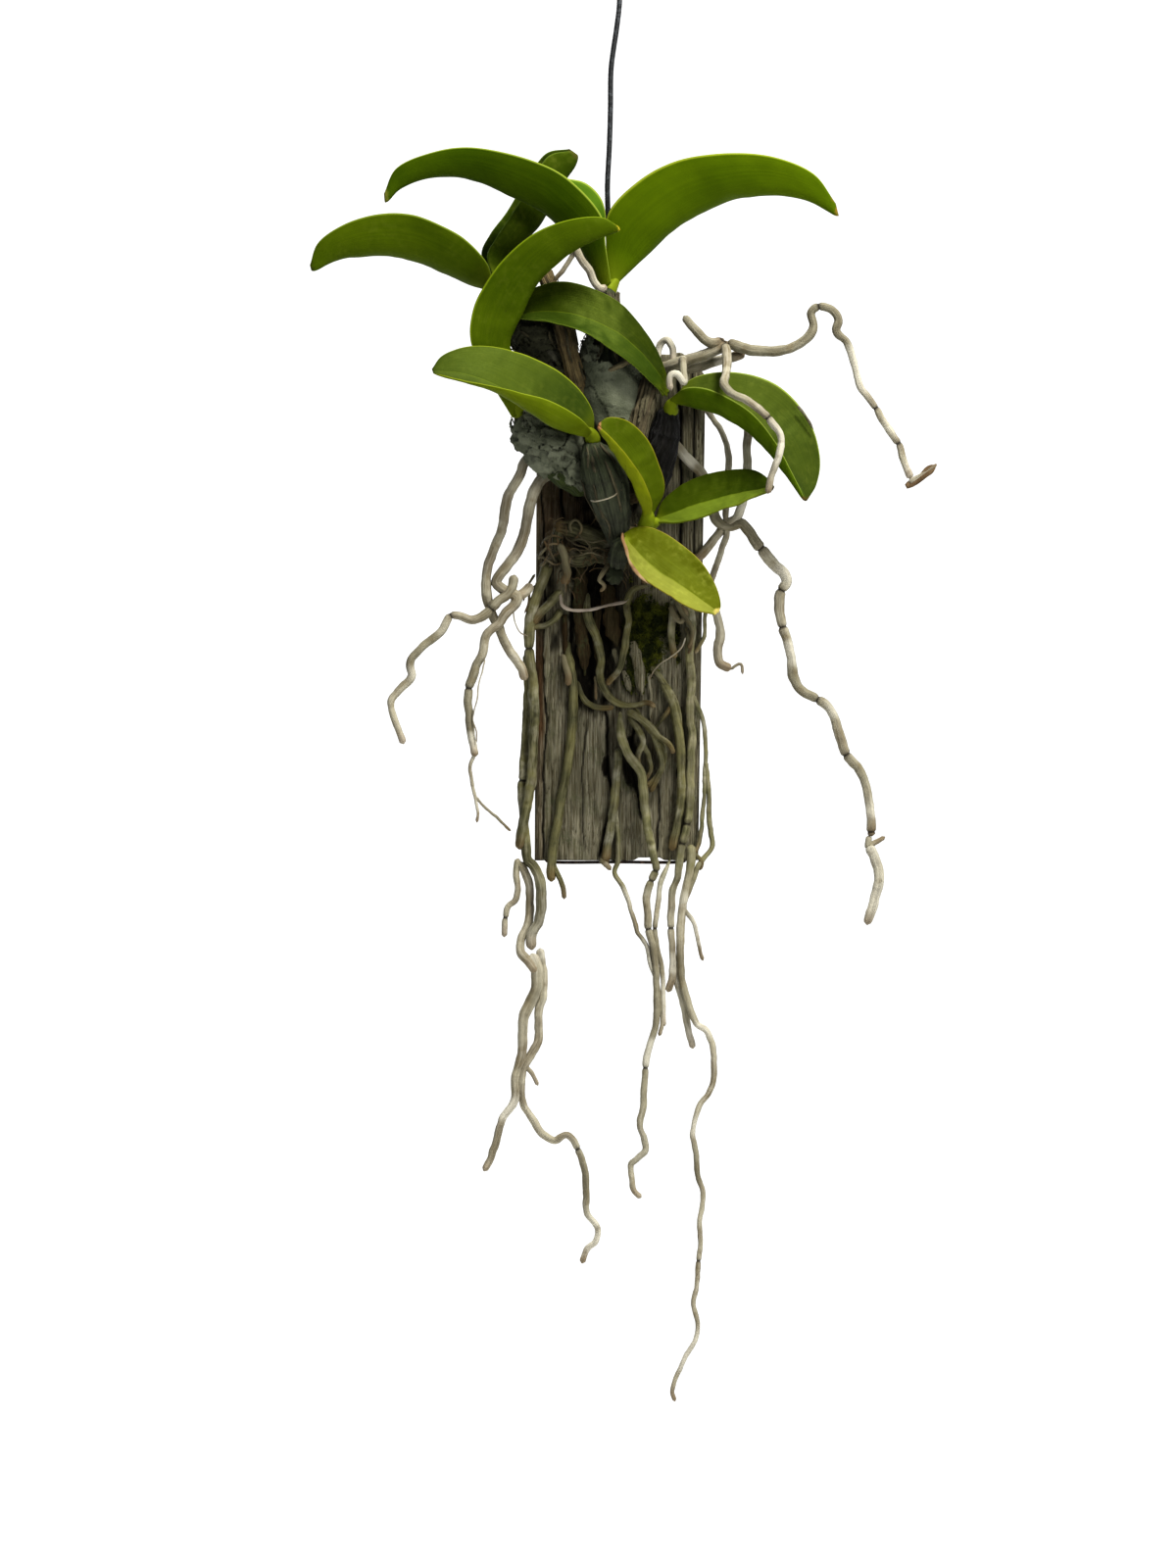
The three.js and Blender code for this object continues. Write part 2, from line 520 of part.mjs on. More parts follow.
// Aerial roots, each as its radius at both ends and hand-set stops from the crown down
const rootBunches = {
  roots_left: {
    look: 'root',
    roots: [
      { from: 2.1, to: 1.9, stops: [[-27, -6, 161], [-36.4, -8, 164], [-41, -9, 156], [-45.2, -10, 148],
        [-48, -11, 134], [-52, -12, 124.4], [-54.2, -12, 116], [-54.2, -12, 108.4], [-52.4, -11, 102],
        [-49.2, -11, 94.4],
        [-45.2, -9, 86], [-40.4, -7, 78.4], [-38.4, -5, 73]] },
      { from: 2.4, to: 1.7, stops: [[-25, -5, 159], [-32.4, -7, 154.4], [-36.4, -9, 144.8],
        [-39.2, -11, 132], [-42.8, -12, 123.2], [-48.4, -13, 116.8], [-50, -13, 112.6], [-47, -13, 109.6],
        [-41.6, -13, 107.2], [-42.4, -13, 104], [-46, -13, 100.8], [-49.2, -13, 96], [-53.6, -13, 92.4],
        [-55.6, -12, 84.8], [-59.6, -12, 75.2], [-61.2, -12, 69.6], [-61.2, -12, 56.8], [-58.8, -12, 42]] },
      { from: 2.1, to: 1.4, stops: [[-42.4, -13, 116], [-45.2, -14, 108.4], [-49.2, -15, 105.2],
        [-54.8, -16, 99.6], [-60, -17, 97.6], [-64.8, -17, 99], [-68.8, -17, 99], [-72.8, -17, 92.4],
        [-80.4, -18, 86.4], [-85.2, -18, 80.4], [-84.4, -18, 74.8], [-90, -18, 68.8], [-93, -18, 64.6],
        [-91.6, -18, 56.8], [-87.6, -18, 47.2]] },
      { from: 2.2, to: 1.8, stops: [[-35.6, -6, 112], [-39, -9, 108.6], [-42.4, -12, 107]] },
      { from: 0.8, to: 0.6, stops: [[-59, -12, 43], [-60.8, -12, 38], [-60.4, -12, 33.2], [-58.4, -12, 24.8],
        [-57.6, -12, 19], [-58, -12, 15]] },
      { from: 0.6, to: 0.6, stops: [[-58.6, -12, 25.6], [-55.2, -11, 21.6], [-49.2, -9, 16.4],
        [-44, -6, 11.6]] },
    ],
  },
  roots_left_edge: {
    look: 'mossyRoot',
    roots: [
      { from: 2.2, to: 2, stops: [[-29, -4.4, 121], [-31, -4.6, 115], [-33.2, -4.4, 109], [-35.6, -3.6, 102],
        [-36.6, -3, 92.4], [-36.6, -3, 82.8], [-35, -3.2, 70], [-35.2, -3, 47.6], [-36.2, -3, 30.8],
        [-38.4, -2, 18.8], [-40.8, 0, 4]] },
      { from: 1.8, to: 2.1, stops: [[-37.4, -2, 84], [-37.4, 0.6, 72], [-38.2, 1, 50], [-39.4, 1, 30],
        [-38.8, 0.6, 12], [-37.4, -1, 0], [-35, -2, -3], [-32.4, -3, -9], [-32, -3, -17.2],
        [-32.8, -3, -25.2],
        [-35.6, -3, -31], [-35.8, -3, -37]] },
      { from: 2, to: 1.8, stops: [[-23.2, -3.4, 109.6], [-27, -3.6, 106], [-31, -3.8, 102],
        [-35.6, -3.4, 96]] },
    ],
  },
  roots_bottom_left: {
    look: 'root',
    roots: [
      { from: 1.5, to: 1.2, stops: [[-41.2, 0, 0.6], [-42, 0, -4], [-41.6, 0, -13], [-42.8, 0, -17],
        [-45.4, 0, -19], [-46.8, 0, -24], [-47.2, 0, -31.6]] },
      { from: 1.8, to: 1.9, stops: [[-41, 0, -1], [-38.6, 0, -5], [-36.6, 0.6, -12], [-36.4, 1, -20],
        [-37.4, 0, -27], [-40.2, -2, -33], [-40, -3, -38], [-36.4, -4, -42], [-33.4, -4, -46]] },
      { from: 2.6, to: 1.3, stops: [[-35.8, -3, -38.4], [-33.8, -3, -44.4], [-33.6, -3, -51.6],
        [-36, -3, -58], [-38.8, -4, -63.6], [-39.4, -4, -70.8], [-39.6, -4, -78], [-42.4, -4, -88.4],
        [-43, -4, -98.8], [-47.6, -4, -105.6], [-50.4, -4, -115.2], [-53.2, -4, -123.6], [-55.2, -4, -127]] },
      { from: 1.8, to: 1.2, stops: [[-32.4, -1, -36], [-31.2, -1, -46], [-31.6, -1, -56.8],
        [-32.8, -1, -62], [-33, -1, -73.6], [-36, -2, -79.6], [-39, -2.4, -85.2], [-40, -2, -92],
        [-39.2, 0, -100], [-35.4, 0, -106], [-31, 0, -112], [-26.8, 0, -114.6], [-21.4, 0, -112.6],
        [-17, 0, -118], [-14, 0, -127.2], [-13.6, 0, -136.4], [-13.2, 0, -144.4], [-9, 0, -151],
        [-10, 0, -156], [-13.2, 0, -159], [-15.2, 0, -164.8]] },
      { from: 1.1, to: 0.8, stops: [[-38.4, -2, -84], [-36, -2, -87], [-33.2, -2, -92.4]] },
    ],
  },
  root_mossy: {
    look: 'mossyRoot',
    roots: [
      { from: 2, to: 1.8, stops: [[-21, -2, 89], [-20.4, -2, 80], [-19, -2, 70.8], [-19.6, -2, 52.4],
        [-22, -2, 34], [-24.8, -2, 18.8], [-27.2, -2.4, 3.6], [-28, -3, -9]] },
      { from: 1.2, to: 1, stops: [[-27, -3, 2], [-25.6, -3, -5], [-23, -3, -10.8], [-22.4, -3, -16]] },
    ],
  },
  roots_front: {
    look: 'mossyRoot',
    roots: [
      { from: 2, to: 1.1, stops: [[-12.8, -5, 109], [-12.8, -3.4, 99.2], [-10, -3.2, 92], [-7.4, -3.2, 82.8],
        [-8.2, -3.2, 75.6], [-6.2, -3.2, 69.6], [-1.2, -3.4, 63.8], [5.6, -4, 62.8], [11.6, -5, 64],
        [14.6, -6, 62.2]] },
      { from: 1.9, to: 1.3, stops: [[11.6, -5, 111.6], [5.6, -4.6, 110], [3, -4, 105.2], [3.6, -3.4, 97.6],
        [2.4, -3.2, 88.8], [0.2, -3.2, 78], [-5.4, -3.2, 71]] },
      { from: 1.3, to: 1.2, stops: [[-17, -2.6, 73], [-14.8, -2.6, 66], [-10, -2.6, 62.4], [-2, -3, 62]] },
      { from: 1.4, to: 1.2, stops: [[5.6, -3.4, 62.6], [12.8, -3, 52.6], [17.6, -3, 46], [18, -3, 39.6],
        [14.6, -3, 33], [9.6, -3, 29]] },
      { from: 1.9, to: 1.7, stops: [[15.2, -3.2, 75.6], [20.4, -3.4, 67.2], [23.2, -3.2, 57],
        [25.2, -3.2, 40.4], [24.8, -3.2, 22], [21.4, -3, 3.6]] },
      { from: 1.2, to: 1.1, stops: [[14, -3.2, 53], [18, -3.2, 58], [21.4, -3.2, 63]] },
    ],
  },
  roots_bottom_center: {
    look: 'root',
    roots: [
      { from: 2, to: 1.2, stops: [[0.4, -6.4, 60], [0.2, -6.8, 54], [2.6, -6.6, 44.4], [8.8, -7, 35],
        [9.8, -7, 27], [11.6, -6, 12.8], [14.2, -5, 0.4], [15, -5, -3.4], [12.8, -5, -9], [11, -5, -15],
        [11.6, -5, -22.4], [12, -5, -28], [13.6, -5, -35.2], [14.8, -5, -46], [15.2, -5, -56.8],
        [14.8, -5, -67.2], [12.8, -5, -74.4], [10.8, -5, -82], [10.2, -5, -90], [10, -5, -99.6],
        [8.2, -5, -108], [10, -5, -114], [10.6, -5, -119], [7.6, -5, -121.6], [5, -5, -124], [5, -5, -130],
        [5.8, -5, -135], [8.8, -5, -138]] },
      { from: 1.1, to: 0.8, stops: [[-2, -2.4, 28], [-0.8, -2.4, 9.6], [-0.6, -2.4, -0.8],
        [-2, -2.4, -5], [1.2, -3, -10.8], [4, -3, -18], [6, -3, -24.8], [7.8, -4, -30], [11.2, -4, -35.6],
        [12.8, -4, -43.6], [15.4, -4, -50], [16.4, -4, -58], [17.4, -4, -66], [16.2, -4, -72.4]] },
      { from: 1.6, to: 1.3, stops: [[-1.6, -2.6, 16], [-4.2, -2.6, 12], [-5, -2.6, 5], [-5.6, -2.6, -3]] },
      { from: 1.2, to: 0.9, stops: [[20.8, -3, 0.6], [19.6, -3.4, -3], [17, -4, -9], [15.8, -4.4, -18],
        [14.6, -4.6, -31.6], [16.8, -4.4, -42.4], [17.8, -4, -50.8], [18, -4, -60], [18.2, -4, -68]] },
    ],
  },
  roots_right_edge: {
    look: 'root',
    roots: [
      { from: 1.6, to: 1.5, stops: [[22.4, -3, 106], [21.6, -3, 98], [21.4, -3, 90.8], [22.8, -3, 82]] },
      { from: 1.9, to: 1.5, stops: [[22.4, -3, 105], [27.6, -3.2, 104], [29.4, -3.4, 92.8],
        [28.6, -3.4, 86], [29.2, -3.4, 70.8], [28.8, -3.4, 58.4], [30, -3.4, 50.8], [29.2, -3.4, 43],
        [29, -3.4, 28], [28, -3.4, 15.6], [26, -3.4, 6.4], [24.6, -3.4, 0], [24, -3.4, -6],
        [21.6, -3.4, -13.2], [21.2, -3.4, -28], [21.8, -3.4, -46], [19.8, -3.4, -54]] },
      { from: 0.9, to: 0.8, stops: [[35.4, -3, 103], [35, -3, 98.8], [34.4, -3, 90.8], [31, -3.4, 84]] },
      { from: 0.9, to: 0.9, stops: [[30, -4, 67], [34.4, -2.4, 55.6], [35.2, -1, 45.2], [34.6, -1.4, 28],
        [33, -2.6, 9], [31, -3, 2]] },
      { from: 1, to: 1.1, stops: [[35.4, -1, 40], [36.4, -1, 30], [36.8, -1, 15.6], [37.6, -2, 5],
        [33.4, -3, -0.6], [29.6, -3.4, -9], [26, -3.6, -18]] },
      { from: 2, to: 0.9, stops: [[29.4, -3.6, 6], [29, -3.6, -3], [27.4, -3.6, -11], [25.8, -3.6, -18],
        [25, -4, -28], [24.9, -4, -42.4], [25.8, -4, -49.6], [27.8, -5, -58], [31.4, -6, -66.4],
        [35.4, -6, -70], [38, -6, -77], [38.6, -6, -88], [36.4, -6, -95.4], [32.4, -6, -101],
        [30, -6, -110.4], [31.4, -6, -121], [31.8, -6, -129], [34, -6, -136], [33, -6, -146],
        [32.8, -6, -159], [31.4, -6, -173], [30, -6, -181], [32, -6, -189], [31, -6, -195.6],
        [27, -6, -202.4], [23.6, -6, -209.6], [21.4, -6, -216.4], [22.6, -6, -221]] },
      { from: 1.8, to: 1.4, stops: [[23.8, -2.4, -42], [24, -2, -50], [26.4, -2, -60], [28, -2, -68],
        [30, -2, -77]] },
      { from: 0.9, to: 0.8, stops: [[26.4, -4, -20], [30.4, -5, -26], [32, -5, -33.6], [34, -5, -41.2]] },
    ],
  },
  roots_top_right: {
    look: 'root',
    roots: [
      { from: 2.5, to: 2.3, stops: [[15, -7, 200], [20, -11, 201], [30, -14, 204], [38.4, -15, 207],
        [44, -15, 210.6]] },
      { from: 2.2, to: 2, stops: [[19, -9, 198], [27.2, -9, 199.6], [39.2, -9, 203], [51.2, -9, 206.4]] },
      { from: 2.4, to: 1.5, stops: [[44, -14, 210.6], [52.4, -14, 207.8], [60.8, -14, 206.8],
        [70, -14, 208.4], [76, -14, 212], [79, -14, 217.2], [78, -14, 222.6], [81.2, -14, 225],
        [86, -14, 223.8], [89.2, -14, 219.6], [88.4, -14, 215], [92.4, -14, 210.4], [95.2, -14, 202.8],
        [98, -14, 192], [100.6, -14, 188.8], [104.4, -14, 183.6], [109.2, -14, 175.6], [113.6, -14, 169.2],
        [115.6, -14, 162.8], [118.6, -14, 155]] },
      { from: 1.3, to: 0.7, stops: [[117.6, -14, 153.6], [122.8, -14, 156.4], [129.2, -14, 160.8]] },
      { from: 1.6, to: 2.6, stops: [[26, -16, 221.2], [31.2, -16, 215.2], [35.6, -16, 210.8],
        [39, -15.4, 210], [42.4, -15, 212]] },
      { from: 1.9, to: 1.4, stops: [[42.8, -17, 210], [43.6, -22, 204], [43, -32, 197], [42.6, -40, 192],
        [45.6, -42, 189], [52.4, -42, 185.4], [60.6, -42, 178.4], [65.2, -42, 171], [64.2, -43, 163.2],
        [61.8, -43, 156], [60, -43, 148.4]] },
      { from: 1.5, to: 1.3, stops: [[26, -13, 204], [25.8, -18, 203], [25.8, -24, 199.4],
        [26.4, -28, 193.6], [23, -29.6, 197.4], [20.8, -29.4, 196.8], [20.4, -29, 193], [20.8, -29, 190.6]] },
      { from: 1.6, to: 1.4, stops: [[15, -8, 203], [16.6, -8, 210], [19, -9, 211.8], [21.6, -10, 208.6],
        [22, -11, 202]] },
    ],
  },
  roots_right: {
    look: 'root',
    roots: [
      { from: 1.2, to: 1.2, stops: [[32, -1, 188], [37.2, -3, 181.2], [41.2, -4, 175.2], [44, -4, 167.2],
        [44.4, -5, 158.8], [43.6, -6, 148], [43.4, -6, 138], [43.6, -6, 132.4], [41.2, -6, 124.4],
        [38, -6, 115.2], [37, -5, 110]] },
      { from: 1.7, to: 1.8, stops: [[53.4, -9, 183], [52.4, -9, 174.4], [51.8, -9, 167.2], [52.2, -9, 160],
        [51, -9, 150], [49.6, -8, 143.2], [47.6, -7, 139.4], [43.6, -5, 136.4], [40.8, -4, 133.4],
        [36, -2.6, 127.2], [31, -1.8, 121.6]] },
      { from: 2.2, to: 1.7, stops: [[21, -6, 170.6], [28, -6, 163.2], [33.6, -6, 157.6], [37, -6, 148],
        [38.8, -6, 139.6], [41.6, -6, 136.4], [46, -6, 136], [49.6, -7, 137], [52.4, -7, 134.4],
        [57.6, -7, 126.8], [62.4, -7, 120.8], [67.2, -7, 116.8], [68, -7, 113], [66, -7, 109.6],
        [65.2, -7, 103.2], [66.8, -7, 94.4], [69.6, -7, 83.6], [70.8, -7, 74.4], [74, -7, 69],
        [79.6, -7, 66], [85.2, -7, 62.4], [88.4, -7, 55.2], [92.4, -7, 43.2], [97.2, -7, 37],
        [100.4, -7, 30.4], [102, -7, 21.6], [102.8, -7, 9.6]] },
      { from: 1.2, to: 0.8, stops: [[102, -7, 10], [101.4, -7, 5], [104, -7, 7], [108.4, -7, 9.4]] },
      { from: 2, to: 1.8, stops: [[101.8, -7, 6], [104.4, -7, 0], [105.8, -7, -8], [103.6, -7, -17.6],
        [100.8, -7, -26.4]] },
      { from: 1.6, to: 1.9, stops: [[37, -5, 112], [38.4, -6, 104], [40.6, -6, 96], [41, -6, 91],
        [40.2, -6, 84.6], [41.4, -6, 79.6], [45.6, -6, 77.4]] },
      { from: 0.6, to: 0.6, stops: [[45, -6, 77.4], [49.4, -6, 79.8], [50.4, -6, 75.4]] },
    ],
  },
  old_spike: {
    look: 'cane',
    roots: [
      { from: 1.2, to: 1, stops: [[-19, -22, 252], [-18.6, -21, 247.6], [-22, -20, 241],
        [-26.6, -18.4, 235.6]] },
      { from: 1.5, to: 1.7, stops: [[-18.4, -22, 250], [-15.6, -21.4, 244], [-12.4, -20, 239.6],
        [-10, -19, 234.6], [-7, -18, 231.8], [-5.8, -16.8, 233.6]] },
    ],
  },
};

const tieStops = [[-24, -6, 108], [-23.4, -8, 103.8], [-20.4, -8.6, 101.8], [-12.8, -9, 101.6],
  [-4.8, -9, 103.6], [2.4, -8.6, 105], [3.6, -6, 106]].map((stop) => [...stop, TIE_RADIUS]);

function bulbSolid(bulb, grow) {
  return rodSolid(bulb.stops, { sides: BULB_SIDES, step: BULB_STEP, ribs: bulb.ribs, grow });
}

// A papery shell over part of a bulb, a clearance away from it, with torn rims
function sheathSolid({ bulb, start, end, from, to, seed }, grow) {
  const random = makeRandom(seed);
  const host = bulbs[bulb];
  const stations = traceRoute(host.stops, SHEATH_STEP, 0);
  const firstStation = Math.round(start * (stations.length - 1));
  const lastStation = Math.round(end * (stations.length - 1));
  const outer = [];
  const inner = [];
  for (let index = firstStation; index <= lastStation; index += 1) {
    const station = stations[index];
    const tear = [TEAR.degrees * random(), TEAR.degrees * random()];
    const atRim = index === firstStation || index === lastStation;
    const outerLine = [];
    const innerLine = [];
    for (let column = 0; column <= SHEATH_COLUMNS; column += 1) {
      const share = column / SHEATH_COLUMNS;
      const degrees = THREE.MathUtils.lerp(from + tear[0], to - tear[1], share);
      const angle = THREE.MathUtils.degToRad(degrees);
      const away = station.radius * (1 + host.ribs) + 2 * CLEARANCE;
      const ragged = atRim ? TEAR.length * (random() - 0.5) : 0;
      const shift = station.tangent.clone().multiplyScalar(ragged);
      outerLine.push(ringPoint(station, angle, away + SHEATH_THICKNESS + grow).add(shift));
      innerLine.push(ringPoint(station, angle, away - grow).add(shift));
    }
    outer.push(outerLine);
    inner.push(innerLine);
  }
  return sheetSolid(outer, inner);
}

// The largest body of a cut solid; scraps that a cut leaves loose are dropped
function largestBody({ vertProperties, triVerts }) {
  const parent = [...Array(vertProperties.length / 3).keys()];
  const find = (vertex) => {
    let root = vertex;
    while (parent[root] !== root) root = parent[root];
    parent[vertex] = root;
    return root;
  };
  for (let corner = 0; corner < triVerts.length; corner += 3) {
    parent[find(triVerts[corner + 1])] = find(triVerts[corner]);
    parent[find(triVerts[corner + 2])] = find(triVerts[corner]);
  }
  const point = (vertex) => new THREE.Vector3().fromArray(vertProperties, 3 * vertex);
  const bodies = new Map();
  for (let corner = 0; corner < triVerts.length; corner += 3) {
    const face = [triVerts[corner], triVerts[corner + 1], triVerts[corner + 2]];
    const body = bodies.get(find(face[0])) ?? { volume: 0, corners: [] };
    const [a, b, c] = face.map(point);
    body.volume += a.dot(b.cross(c)) / 6;
    body.corners.push(...face);
    bodies.set(find(face[0]), body);
  }
  const largest = [...bodies.values()].sort((one, other) => other.volume - one.volume)[0];
  const order = new Map();
  largest.corners.forEach((vertex) => {
    if (!order.has(vertex)) order.set(vertex, order.size);
  });
  const positions = [...order.keys()].flatMap((vertex) => point(vertex).toArray());
  return { positions, index: largest.corners.map((vertex) => order.get(vertex)) };
}

const plant = new THREE.Group();
let occupied = null;

// Adds a piece as its own mesh, cut clear of every piece that is already in place
function addPiece(name, look, build) {
  const whole = build(0);
  const body = occupied ? whole.subtract(occupied) : whole;
  const { positions, index } = largestBody(body.getMesh());
  const geometry = new THREE.BufferGeometry();
  geometry.setAttribute('position', new THREE.Float32BufferAttribute(positions, 3));
  geometry.setIndex(index);
  geometry.computeVertexNormals();
  const mesh = new THREE.Mesh(geometry, new THREE.MeshStandardMaterial(materials[look]));
  mesh.name = name;
  plant.add(mesh);
  const grown = build(CLEARANCE);
  occupied = occupied ? occupied.add(grown) : grown;
}

addPiece('hanger_wire', 'wire', (grow) => (
  rodSolid(hangerStops(), { sides: ROD_SIDES, step: WIRE_STEP.hanger, grow })));
addPiece('bottom_wire', 'wire', (grow) => (
  rodSolid(stapleStops, { sides: ROD_SIDES, step: WIRE_STEP.bottom, grow })));
addPiece('slab', 'wood', slabSolid);
addPiece('rhizome', 'rhizome', (grow) => joinAll(rhizomeStems.map((stem) => (
  rodSolid(stem, { sides: ROD_SIDES, step: BULB_STEP, grow })))));
for (const [name, bulb] of Object.entries(bulbs)) {
  addPiece(name, bulb.look, (grow) => bulbSolid(bulb, grow));
}
for (const [name, sheath] of Object.entries(sheaths)) {
  addPiece(name, 'paper', (grow) => sheathSolid(sheath, grow));
}
for (const [name, leaf] of Object.entries(leaves)) {
  addPiece(name, leaf.look, (grow) => leafSolid(leaf, grow));
}
for (const [name, bunch] of Object.entries(rootBunches)) {
  addPiece(name, bunch.look, rootBunch(bunch.roots));
}
addPiece('tie_strip', 'tie', (grow) => (
  rodSolid(tieStops, { sides: ROOT_SIDES, step: TIE_STEP, grow })));

plant.position.set(0, -wireDepth, -hookInnerTop);
const orchidOnSlab = new THREE.Group();
orchidOnSlab.add(plant);

export default orchidOnSlab;
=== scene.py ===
# A cattleya orchid on a weathered slab that hangs from a black wire: the surfaces, the small
# growth on them, the camera and the light. The routes are in millimetres from the middle of the
# slab's bottom edge, with the slab's front face at y = 0, and make_piece moves them to the frame.
import itertools
import math

import bpy
import numpy as np
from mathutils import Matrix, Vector


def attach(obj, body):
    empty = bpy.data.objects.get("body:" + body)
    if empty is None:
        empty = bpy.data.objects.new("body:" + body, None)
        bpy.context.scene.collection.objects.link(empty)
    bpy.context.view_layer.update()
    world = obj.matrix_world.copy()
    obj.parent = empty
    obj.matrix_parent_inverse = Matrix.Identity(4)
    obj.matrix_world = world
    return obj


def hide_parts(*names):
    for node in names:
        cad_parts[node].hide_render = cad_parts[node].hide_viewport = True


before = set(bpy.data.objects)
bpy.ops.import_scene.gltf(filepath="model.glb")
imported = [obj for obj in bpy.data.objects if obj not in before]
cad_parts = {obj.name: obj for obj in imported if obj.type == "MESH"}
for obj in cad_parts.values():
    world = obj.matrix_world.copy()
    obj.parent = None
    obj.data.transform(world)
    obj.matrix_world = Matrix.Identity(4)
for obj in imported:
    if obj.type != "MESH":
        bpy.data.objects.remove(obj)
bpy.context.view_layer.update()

# Sizes of the made things
MM = 0.001
SLAB_HEIGHT = 207
SLAB_THICKNESS = 22
SLAB_LEFT = {"top": -33.6, "bottom": -34.6}
SLAB_RIGHT = {"top": 35.2, "bottom": 32.2}
HOOK_RADIUS = 9
HOOK_CENTER_HEIGHT = 371
HOOK_DEGREES = {"from": 248, "to": -50}
HOOK_STOPS = 10
WIRE_RADIUS = 1.1
STAPLE_RADIUS = 0.65
TIE_WIDTH = 1.5
TIE_THICKNESS = 0.5
ORIGIN_SHIFT = np.array([0, -SLAB_THICKNESS / 2, -(HOOK_CENTER_HEIGHT + HOOK_RADIUS - WIRE_RADIUS)])

# How finely the surfaces are made: steps in millimetres, and numbers of rows, columns and sides
CURVE_SAMPLES = 16
LEAF_ROWS = 120
LEAF_HALF_COLUMNS = 14
BULB_STEP = 0.9
BULB_SIDES = 56
NECK_SIDES = 28
ROOT_STEP = 0.9
ROOT_SIDES = 10
STEM_SIDES = 24
HAIR_SIDES = 6
SLAB_ROWS = 250
SLAB_COLUMNS = 130
SLAB_SIDE_COLUMNS = 16
PAPER_STEP = 0.45
STRIP_STEP = 0.8
STRIP_SIDES = 8
SPLINTER_STEP = 0.8
SPLINTER_SIDES = 18
WIRE_STEP = 0.8
WIRE_SIDES = 20

# How uneven the growing parts are, in millimetres or as shares of a radius
LEAF_THICKNESS = {"keel": 2.1, "margin": 1.0}
FOLD_ROUNDNESS = 0.5
LEAF_RIPPLE = 0.45
KNOT_WIDTH = 0.9
KNOT_HEIGHT = 0.5
BLUNT_END = 0.6
ROOT_SWAY = 0.22
ROOT_LUMPS = 0.12
ROOT_LUMP_HEIGHT = 0.5
STEM_LUMP_HEIGHT = 1.6
JOINT_WIDTH = 0.6
JOINT_PINCH = 0.3
JOINT_SEARCH = 2.5
TIP_LENGTH = 9
MOSS_FADE = {"below": -30, "above": 4}
ROOT_SINK = {"length": 9, "depth": 2.3, "taper": 0.6}
PAPER_TEAR = 3.0
PAPER_TEAR_SIZE = 2.8
PAPER_CURL = 1.2
CURL_WIDTH = 2.4
PAPER_THICKNESS = 0.25
PLATE_LIFT = 0.4
PLATE_TILT = 2.4
PLATE_BEND = 1.1
CRACK_DEPTH = 0.8
CREASE_HEIGHT = 0.6
CREASE_CROWDING = 1.4
STRIP_THICKNESS = 0.45
STRIP_GAP = 0.2
FUZZ_COUNT = 90

# The slab's worn edges, and its cracks as (x, z) stops from the top down with half width and depth
TOP_CORNER_START = 0.86
TOP_CORNER_DROP = 9
RAGGED_TOP = 1.6
BOTTOM_NOTCH = {"from": 0.6, "to": 0.8, "height": 1.2}
BOTTOM_DROP = 0.4
EDGE_WEAR = {"left": 2.5, "right": 1.5, "share": 0.06}
DEEPEST_WEAR = {"front": 5, "back": 1.5, "side": 2}
END_DENT = 0.5
SLAB_SEAMS = [
    ([(-6, 62), (-5, 46), (-3.6, 33), (-2.4, 23), (-5.6, 12), (-8.4, 1)], 0.7, 2.2),
    ([(-31.4, 150), (-30.6, 110), (-30.2, 60), (-31, 20), (-31, 1)], 0.4, 1.8),
    ([(6, 58), (4.4, 44), (6.8, 30), (9, 16)], 0.7, 1.8),
    ([(24, 62), (25, 46), (24, 34)], 0.5, 1.2),
    ([(-19, 110), (-20.4, 84), (-19.4, 70)], 1.2, 2.2),
    ([(15.6, 34), (16.4, 18), (15, 2)], 0.5, 1.4),
    ([(-14, 56), (-15, 30), (-14.4, 3)], 0.3, 0.8),
    ([(24, 196), (25.4, 160), (24.4, 122)], 0.7, 2.0),
    ([(30, 204), (30.6, 150), (29.6, 100)], 0.4, 1.5),
    ([(-24, 160), (-23, 140), (-24, 128)], 0.8, 1.8),
]
# Oval patches of the slab as x, z, half width and half height, some with one value more: rotted
# hollows with their depth, which are painted dark as shade too, patches of painted shade behind
# the plant and its roots with their darkness, bark and warm wood
SLAB_PITS = [(-11, 117, 11, 9, 2.6), (-7, 83, 6, 17, 2.8), (5, 40, 4, 14, 1.4), (-4, 150, 14, 18, 2),
    (-5.6, 38, 1.8, 5, 2.4), (22, 96, 3, 12, 1.4)]
PAINTED_SHADE_PATCHES = [(-4, 100, 24, 38, 0.8), (-5, 130, 14, 18, 0.93), (-9, 92, 15, 30, 0.97),
    (-20, 150, 12, 22, 0.25), (-2, 160, 18, 26, 0.4), (12, 40, 9, 24, 0.35), (-2, 40, 4, 34, 0.4)]
BARK = (11, 92, 11, 20)
WARM_WOOD = (-22, 142, 15, 22)

# Dark breaks in the roots' skin, as x and z
ROOT_JOINTS = [(-52.4, 102), (-61.2, 69.6), (-68.8, 99.2), (-46.8, -23.6), (-16.8, -118), (12.8, -8.8),
    (12, -28), (10.4, -85.2), (24.8, 6.4), (21.2, -28), (32, -164), (81.2, 225.2), (104.4, 183.6),
    (113.6, 169.2), (57.6, 126.8), (65.6, 110.4), (81.2, 66.8), (92.4, 43.2), (102.6, 11.4),
    (-39.6, 32), (26.8, 14.8), (14.8, -4.6), (43.4, 209.6), (60, 178.6), (66.8, 94.4), (-36.6, 86)]

